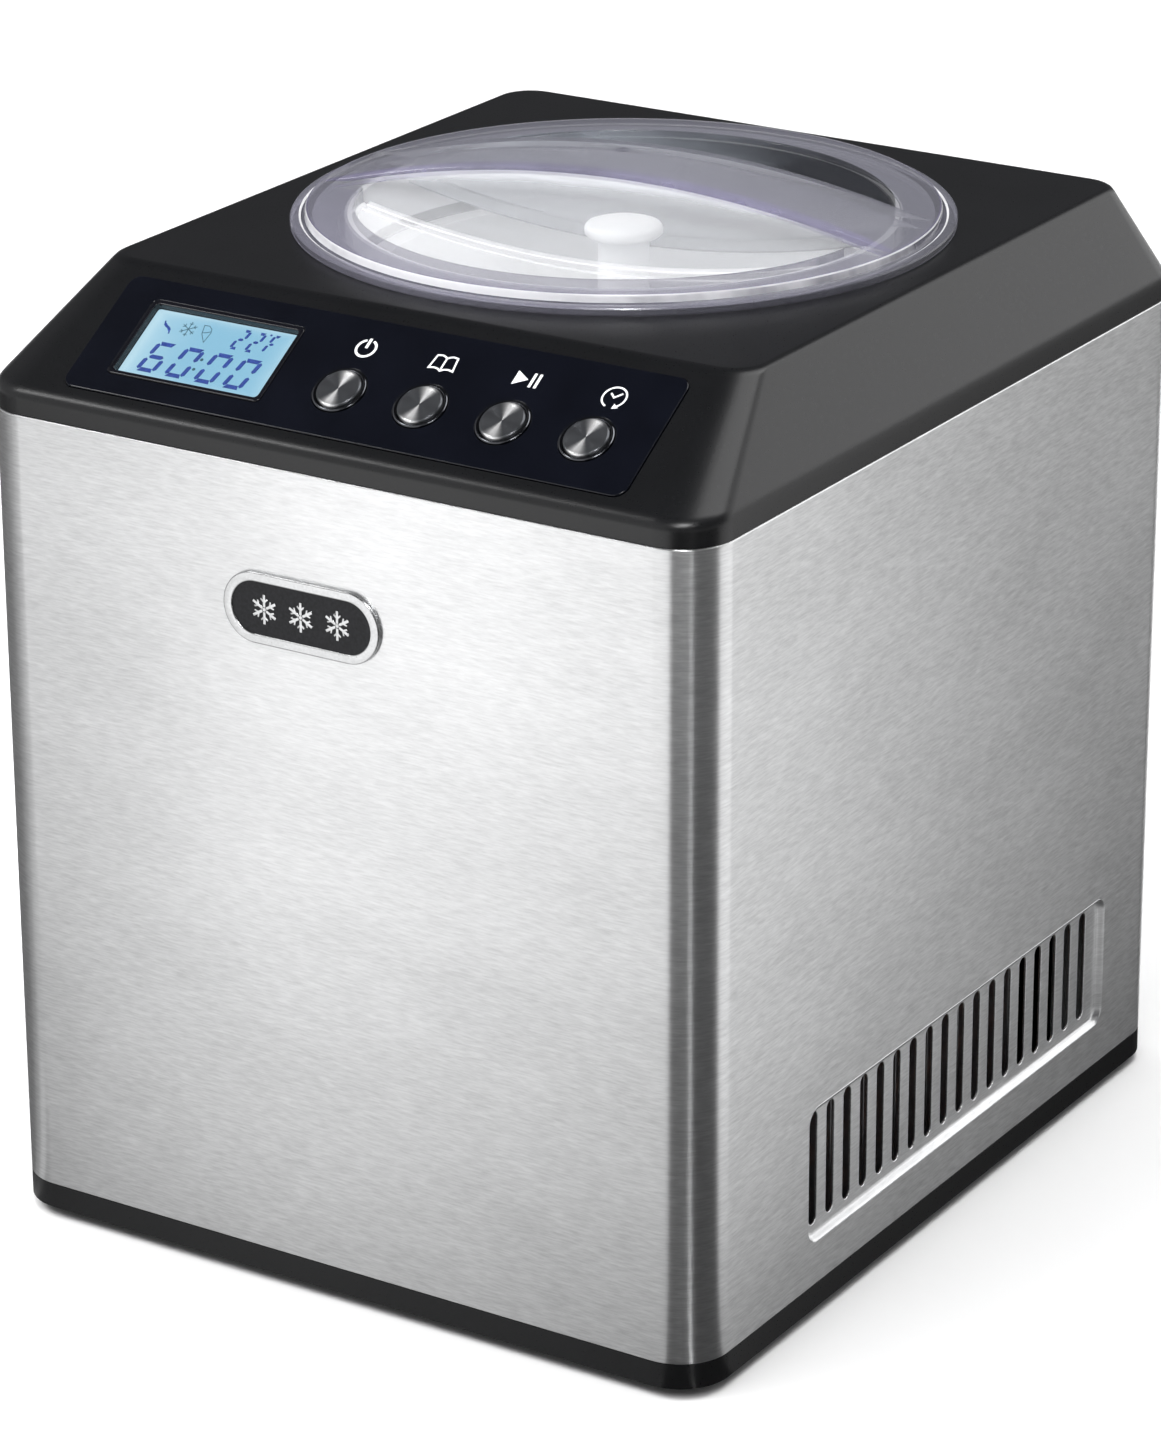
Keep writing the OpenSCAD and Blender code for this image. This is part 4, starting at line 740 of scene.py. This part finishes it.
FRONT = Matrix(((1, 0, 0, BADGE["x"] * MM), (0, 0, -1, -HALF_D * MM), (0, 1, 0, BADGE["z"] * MM), (0, 0, 0, 1)))
piece("badge_rim", plate([stadium(0, 0, BADGE["w"], BADGE["h"], 20), stadium(0, 0, *BADGE["hole"], 20)],
                         0, BADGE["proud"], 0.45, FRONT),
      "housing", "badge_chrome", ["badge_frame"])
piece("badge_field", plate([stadium(0, 0, *(side + 0.6 for side in BADGE["hole"]), 20)], 0, 1.0, 0.1, FRONT),
      "housing", "badge_black", ["badge_plate"])
crystals = [plate([[(x + px, py) for px, py in snow_crystal(5.0, 0.10)]], 0.9, 1.25, 0.1, FRONT)
            for x in (-14, 0, 14)]
piece("badge_crystals", joined(crystals, "crystals"), "housing", "badge_chrome")

# ---------------------------------------------------------------- clear lid

LID = {"half": 19.7, "recess": 89.5, "plateau": 5.7, "rise": 15.3, "tip": 103, "wall": 2.5, "outer": 105.2}
LID_AT = Matrix.Translation((0, WELL_Y * MM, TOP_Z * MM)) @ Matrix.Rotation(math.radians(7.5), 4, "Z")
N_ARC, N_END, N_V = 84, 8, 14


def floor_z(t, v, drop):
    """Height of the finger recess's floor: it falls towards the handle and is lowest at its middle."""
    return 5.1 - 0.238 * (LID["recess"] - abs(v)) + t * t / 660 - drop


def lid_skin(shape, off):
    """The lid's upper skin, or the inner one when off is the wall. Returns its outer edge, all the way round."""
    half, recess, plat = LID["half"] - off, LID["recess"] + off * 0.98, LID["plateau"] - off
    tip = LID["tip"] - off
    q = 1.0 if off == 0 else 0.6
    drop = off * 1.1

    def arch(t):
        return plat + LID["rise"] * (1 - (t / tip) ** 2)

    def top_round(t):
        return q * min(1.7, 0.5 * (arch(t) - plat) + 0.02)

    def ring_points(radius, height):
        """A row of points on a ring whose radius and height follow the step, ending on the handle's wall."""
        first = radius(0)
        start = math.asin(half / first)
        row = []
        for i in range(N_ARC + 1):
            share = i / N_ARC
            a = start + (math.pi - 2 * start) * share
            r = radius(share)
            row.append((r * math.cos(a), r * math.sin(a), height(share, r, a)))
        return row

    def step(share):
        start = math.asin(half / recess)
        a = start + (math.pi - 2 * start) * share
        return max(0.08, plat - floor_z(recess * math.cos(a), recess * math.sin(a), drop))

    def lip(share):
        return q * min(0.9, 0.45 * step(share))

    def foot(share):
        return q * min(1.2, 0.4 * step(share))

    rings = [ring_points(lambda s: recess + lip(s), lambda s, r, a: plat),
             ring_points(lambda s: recess + 0.3 * lip(s), lambda s, r, a: plat - 0.3 * lip(s)),
             ring_points(lambda s: recess, lambda s, r, a: plat - lip(s)),
             ring_points(lambda s: recess, lambda s, r, a: plat - step(s) + foot(s)),
             ring_points(lambda s: recess - 0.3 * foot(s), lambda s, r, a: plat - step(s) + 0.3 * foot(s)),
             ring_points(lambda s: recess - foot(s),
                         lambda s, r, a: floor_z(r * math.cos(a), r * math.sin(a), drop))]
    corner_t = rings[0][0][0]
    ends = [tip + (corner_t - tip) * k / N_END for k in range(N_END)]
    inner_ts = [p[0] for p in rings[5]]
    all_ts = ends + [corner_t, rings[2][0][0]] + inner_ts[1:-1]
    all_ts += [-rings[2][0][0], -corner_t] + [-t for t in reversed(ends)]

    # the handle's top, with rounded long edges, one of them with a painted dark edge line
    rows = []
    for t in all_ts:
        h, r = arch(t), top_round(t)
        edge = [(half - r + r * math.sin(a), h - r + r * math.cos(a)) for a in
                (math.radians(90 - 22.5 * k) for k in range(5))]
        flat = [(half - r) * (1 - 2 * k / N_V) for k in range(1, N_V)]
        section = edge + [(v, h) for v in flat] + [(-v, z) for v, z in reversed(edge)]
        rows.append([(t, v, z) for v, z in section])
    ids = [shape.add(r) for r in rows]
    for k in range(len(ids) - 1):
        shape.strip(ids[k][:-5], ids[k + 1][:-5])
        shape.strip(ids[k][-6:], ids[k + 1][-6:], mat=EDGE)

    edge_row = [[(r[0][0], r[0][2]) for r in rows], [(r[-1][0], r[-1][2]) for r in rows]]
    border = {}
    for sign, crest in ((1, edge_row[0]), (-1, edge_row[1])):
        def put(points):
            return [(x, sign * y, z) for x, y, z in points]

        # step and floor of the recess: at the front painted light, with painted dark lines, a rim painted paler to
        # the front and a painted glint; at the back painted shade
        front = sign < 0
        painted_recess = PAINTED_LIGHT if front else SHADY
        ids = [shape.add(put(r)) for r in rings]
        for k in range(5):
            shape.strip(ids[k], ids[k + 1], mat=(MILKY, LINE, RIM, RIM, GLINT)[k] if front else painted_recess)
        base = [[], [], []]
        for t, v, _ in rings[5]:
            r = q * min(1.6, 0.3 * (v - half))
            base[0].append((t, half + r, floor_z(t, half + r, drop)))
            base[1].append((t, half + 0.3 * r, floor_z(t, half, drop) + 0.3 * r))
            base[2].append((t, half, floor_z(t, half, drop) + r))
        base_ids = [shape.add(put(b)) for b in base]
        shape.strip(ids[5], base_ids[0], mat=painted_recess)
        shape.strip(base_ids[0], base_ids[1], mat=GLINT if front else painted_recess)
        shape.strip(base_ids[1], base_ids[2], mat=painted_recess)

        # the handle's upright wall, one flat face, with painted highlight stripes
        outline = [(t, z) for t, z in crest]
        outline += [(-t, plat) for t in ends[1:]]
        outline += [(r[-1][0], r[-1][2]) for r in rings]
        outline += [(t, z) for t, _, z in reversed(base[2][1:-1])]
        outline += [(r[0][0], r[0][2]) for r in reversed(rings)]
        outline += [(t, plat) for t in reversed(ends[1:])]
        shape.face(shape.add([(t, sign * half, z) for t, z in outline]), WALL)

        # the plateau's inner border on this side, from the right tip to the left one
        border[sign] = ([(t, sign * half, plat) for t in ends] + put(rings[0])
                        + [(-t, sign * half, plat) for t in reversed(ends)])
    tip_vs = [r[1] for r in rows[0]]
    right = [(tip, v, plat) for v in reversed(tip_vs)][1:-1]
    left = [(-tip, v, plat) for v in tip_vs][1:-1]
    return border[1] + left + list(reversed(border[-1])) + right


def lid_mesh():
    shape = Shape()
    edges = [lid_skin(shape, 0.0), lid_skin(shape, LID["wall"])]
    turns = [[math.atan2(y, x) for x, y, _ in e] for e in edges]
    outer = [(LID["outer"], 5.7), (105.7, 5.55), (106.0, 5.1), (106.1, 3.9), (106.35, 3.0), (106.9, 2.55),
             (107.5, 2.65), (108.2, 3.0), (110.2, 3.0), (110.85, 2.75), (111.2, 2.2), (111.2, 0.5),
             (110.95, 0.1), (110.4, 0)]
    inner = [(104.2, 0), (103.8, 0.4), (103.6, 3.2)]
    rows = [edges[0]]
    rows += [[(r * math.cos(a), r * math.sin(a), z) for a in turns[0]] for r, z in outer]
    rows += [[(r * math.cos(a), r * math.sin(a), z) for a in turns[1]] for r, z in inner]
    rows.append(edges[1])
    # the rim's rows carry painted dark lines, painted glints and a rim painted paler to the front
    looks = (MILKY, EDGE, GLINT, RIM, RIM, LINE, LINE, GLINT, MILKY)
    ids = [shape.add(r) for r in rows]
    for k in range(len(ids) - 1):
        shape.strip(ids[k], ids[k + 1], True, looks[min(k, 8)])
    # the skirt shares the lid's white painted-light look
    skirt = Shape()
    skirt.lathe([(93, 2.9), (93, -14.2), (92.7, -14.8), (92, -15), (91.4, -15), (90.8, -14.8), (90.5, -14.2),
                 (90.5, 2.9)], 128, PAINTED_LIGHT, True)
    mark = Shape()
    mark_z = LID["plateau"] + LID["rise"] - 0.05
    mark.lathe([(1.8, 0), (1.85, 0.2), (2.15, 0.25), (2.45, 0.2), (2.5, 0)], 32, LINE, True)
    mark.lathe([(0.01, 0), (0.01, 0.4), (0.5, 0.38), (0.75, 0.2), (0.8, 0)], 24, LINE, True)
    meshes = [mesh_of(shape, "lid"), mesh_of(skirt, "skirt"),
              mesh_of(mark, "mark", Matrix.Translation((-3.7 * MM, 7.5 * MM, mark_z * MM)))]
    return joined(meshes, "lid")


lid_shell = piece("lid_shell", lid_mesh(), "lid", "clear_lid", ["lid"], LID_AT, 32, LID_LOOKS)
lid_shell.visible_shadow = False

# ---------------------------------------------------------------- paddle knob

knob_low, knob_high = (c.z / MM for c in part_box("paddle_knob"))
knob_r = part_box("paddle_knob")[1].x / MM
knob = Shape()
k_h = knob_high - knob_low
knob.lathe([(0.01, k_h), (7, k_h), (10.8, k_h - 0.12), (12.3, k_h - 0.6), (knob_r - 0.25, k_h - 1.5),
            (knob_r, k_h - 2.6), (knob_r - 0.2, k_h - 3.7), (12.2, 0.7), (11, 0.2), (9, 0), (0.01, 0)], 96)
piece("knob", mesh_of(knob, "knob"), "paddle", "white_plastic", ["paddle_knob"],
      Matrix.Translation((0, WELL_Y * MM, knob_low * MM)))

# ---------------------------------------------------------------- floor, light and camera


def stage_plane(name, points, mat):
    mesh = bpy.data.meshes.new(name)
    mesh.from_pydata(points, [], [list(range(len(points)))])
    obj = bpy.data.objects.new(name, mesh)
    bpy.context.scene.collection.objects.link(obj)
    mesh.materials.append(mat)
    return obj


stage_plane("floor", [(-9, -9, 0), (9, -9, 0), (9, 9, 0), (-9, 9, 0)],
            material("floor_paper", (0.82, 0.82, 0.82), 0.9, tone=0.01, tone_scale=3, fine=60, bump=0.0,
                     rough_by=0.02, Specular_IOR_Level=0.0))


def ramp_of(tree, value, stops):
    """A ramp of grey levels, each half as bright as meant."""
    made = node(tree, "ShaderNodeValToRGB", {"Fac": value})
    elements = made.color_ramp.elements
    while len(elements) < len(stops):
        elements.new(0.5)
    for stop, (place, level) in zip(elements, stops):
        stop.position = place
        stop.color = (level / 2, level / 2, level / 2, 1)
    return made.outputs["Color"]


def card(name, points, fades):
    """A glowing card on the floor that only shows in gloss. Each fade is a direction, a range and its levels."""
    mat, tree, shader = new_material(name, {"Base_Color": (0, 0, 0, 1), "Specular_IOR_Level": 0.0,
                                            "Emission_Strength": 2.0 ** len(fades)})
    place = node(tree, "ShaderNodeTexCoord").outputs["Object"]
    level = None
    for direction, start, end, stops in fades:
        along = node(tree, "ShaderNodeVectorMath", {0: place, 1: direction}, operation="DOT_PRODUCT")
        share = node(tree, "ShaderNodeMapRange", {"Value": along.outputs["Value"], "From Min": start,
                                                  "From Max": end}).outputs["Result"]
        grey = ramp_of(tree, share, stops)
        if level:
            level = node(tree, "ShaderNodeVectorMath", {0: level, 1: grey}, operation="MULTIPLY").outputs["Vector"]
        else:
            level = grey
    tree.links.new(level, shader.inputs["Emission Color"])
    obj = stage_plane(name, points, mat)
    obj.visible_camera = obj.visible_diffuse = obj.visible_shadow = obj.visible_transmission = False


def sector(name, x, y, start, end, level):
    """A wedge of even light just above the other cards."""
    points = [(px, py, 0.002) for px, py in [(x, y)] + arc(x, y, 3, start, end, 12)]
    card(name, points, [((1, 0, 0), -9, 9, [(0, level), (1, level)])])


EDGE_X, EDGE_Y = (HALF_W - CORNER_R) * MM, (HALF_D - CORNER_R) * MM
card("card_front", [(0.12, -0.155, 0.001), (-0.14, -0.155, 0.001), (-3.0, -2.6, 0.001), (0.6, -2.6, 0.001)],
     [((0, -1, 0), 0.16, 0.86, [(0, 0.45), (0.12, 0.62), (0.4, 0.98), (0.65, 1.47), (0.9, 1.95)]),
      ((1, -0.635, 0), -0.04, 0.22, [(0, 0.5), (0.12, 0.78), (0.3, 0.95), (0.45, 1.0), (0.75, 0.88), (1, 0.68)])])
card("card_side", [(0.133, -0.15, 0.001), (5.0, -0.15, 0.001), (5.0, 6.0, 0.001), (0.133, 6.0, 0.001)],
     [((1, 0, 0), 0.14, 0.54, [(0, 0.1), (0.15, 0.18), (0.35, 0.32), (0.6, 0.45), (1, 0.5)]),
      ((-1.575, 1, 0), -0.36, -0.06, [(0, 2.0), (0.07, 1.6), (0.3, 1.15), (0.6, 0.85), (1, 0.4)])])
for label, side, start, end, level in (("dark_front", 1, -82, -42.4, 0.045), ("dark_side", 1, -39.8, 18, 0.035),
                                       ("dark_left", -1, 105, 196, 0.15), ("dim_left", -1, 196, 212, 0.28),
                                       ("mid_left", -1, 212, 228, 0.48)):
    sector(f"card_{label}", side * EDGE_X, -EDGE_Y, start, end, level)


WORLD = [(-180, 0.35), (-125, 0.7), (-92, 0.6), (-80, 0.08), (30, 0.08), (44, 1.45), (78, 1.45), (98, 0.06),
         (150, 0.06), (180, 0.35)]  # degrees from +X, and how bright


def studio_world():
    """Light from all round that changes with direction: bright behind on the right, dim above. Plain to look at."""
    world = bpy.data.worlds.new("studio")
    bpy.context.scene.world = world
    world.use_nodes = True
    tree = world.node_tree
    place = node(tree, "ShaderNodeTexCoord").outputs["Generated"]
    parts = node(tree, "ShaderNodeSeparateXYZ", {"Vector": place})
    turn = maths(tree, "ARCTAN2", parts.outputs["Y"], parts.outputs["X"])
    share = node(tree, "ShaderNodeMapRange", {"Value": turn, "From Min": -math.pi, "From Max": math.pi}).outputs[0]
    around = ramp_of(tree, share, [((a + 180) / 360, level) for a, level in WORLD])
    height = node(tree, "ShaderNodeMapRange", {"Value": parts.outputs["Z"], "From Min": 0.45,
                                               "From Max": 0.85}).outputs[0]
    above = ramp_of(tree, height, [(0, 1.0), (1, 0.0)])
    level = node(tree, "ShaderNodeVectorMath", {0: around, 1: above}, operation="MULTIPLY").outputs[0]
    level = node(tree, "ShaderNodeVectorMath", {0: level, 1: (0.006, 0.006, 0.007)}).outputs[0]
    back = next(n for n in tree.nodes if n.bl_idname == "ShaderNodeBackground")
    tree.links.new(level, back.inputs["Color"])
    back.inputs["Strength"].default_value = 4.0
    plain = node(tree, "ShaderNodeBackground", {"Color": (0.92, 0.92, 0.92, 1)}).outputs[0]
    seen = node(tree, "ShaderNodeLightPath").outputs["Is Camera Ray"]
    both = node(tree, "ShaderNodeMixShader", {0: seen, 1: back.outputs[0], 2: plain}).outputs[0]
    tree.links.new(both, next(n for n in tree.nodes if n.bl_idname == "ShaderNodeOutputWorld").inputs["Surface"])


studio_world()


def lamp(name, kind, place, target, energy, size, gloss=True):
    """A lamp that looks at its target. Without gloss it lights things but isn't mirrored in them."""
    data = bpy.data.lights.new(name, kind)
    data.energy = energy
    setattr(data, {"SUN": "angle", "AREA": "size", "SPOT": "shadow_soft_size"}[kind], size)
    obj = bpy.data.objects.new(name, data)
    bpy.context.scene.collection.objects.link(obj)
    obj.location = place
    obj.rotation_euler = (Vector(target) - Vector(place)).to_track_quat("-Z", "Y").to_euler()
    obj.visible_glossy = gloss
    return obj


lamp("wash", "SUN", (-0.6, -0.5, 3), (0, 0, 0), 3.2, math.radians(70), False)
lamp("key", "AREA", (-1.5, -1.1, 1.9), (0, 0, 0.2), 20, 1.2, False)
lamp("spark", "AREA", (-1.3, -0.95, 1.75), (0, 0, 0.3), 5, 0.4)
lamp("top", "AREA", (0.55, 0.5, 1.6), (0, 0.02, 0.33), 10, 1.1)
lamp("front", "AREA", (0.75, -1.25, 1.45), (0, 0, 0.3), 9, 0.7)
well = lamp("well", "SPOT", (0.55, -0.85, 1.35), (0, WELL_Y * MM, TOP_Z * MM), 100, 0.25)
well.data.spot_size, well.data.spot_blend = math.radians(8.2), 0.4

YAW, PITCH, ROLL = (math.radians(a) for a in (32.44, 21.54, 0.27))
right = Vector((math.cos(YAW), math.sin(YAW), 0))
ahead = Vector((-math.sin(YAW) * math.cos(PITCH), math.cos(YAW) * math.cos(PITCH), -math.sin(PITCH)))
down = ahead.cross(right)
axis_x = math.cos(ROLL) * right + math.sin(ROLL) * down
axis_y = math.sin(ROLL) * right - math.cos(ROLL) * down
lens = bpy.data.cameras.new("camera")
lens.lens, lens.sensor_width, lens.clip_start = 134.47, 36, 0.05
camera = bpy.data.objects.new("camera", lens)
bpy.context.scene.collection.objects.link(camera)
camera.matrix_world = Matrix.Translation((0.91494, -1.45140, 0.83069)) @ Matrix(
    (axis_x, axis_y, -ahead)).transposed().to_4x4()
bpy.context.scene.camera = camera
bpy.context.scene.view_settings.view_transform = "Standard"
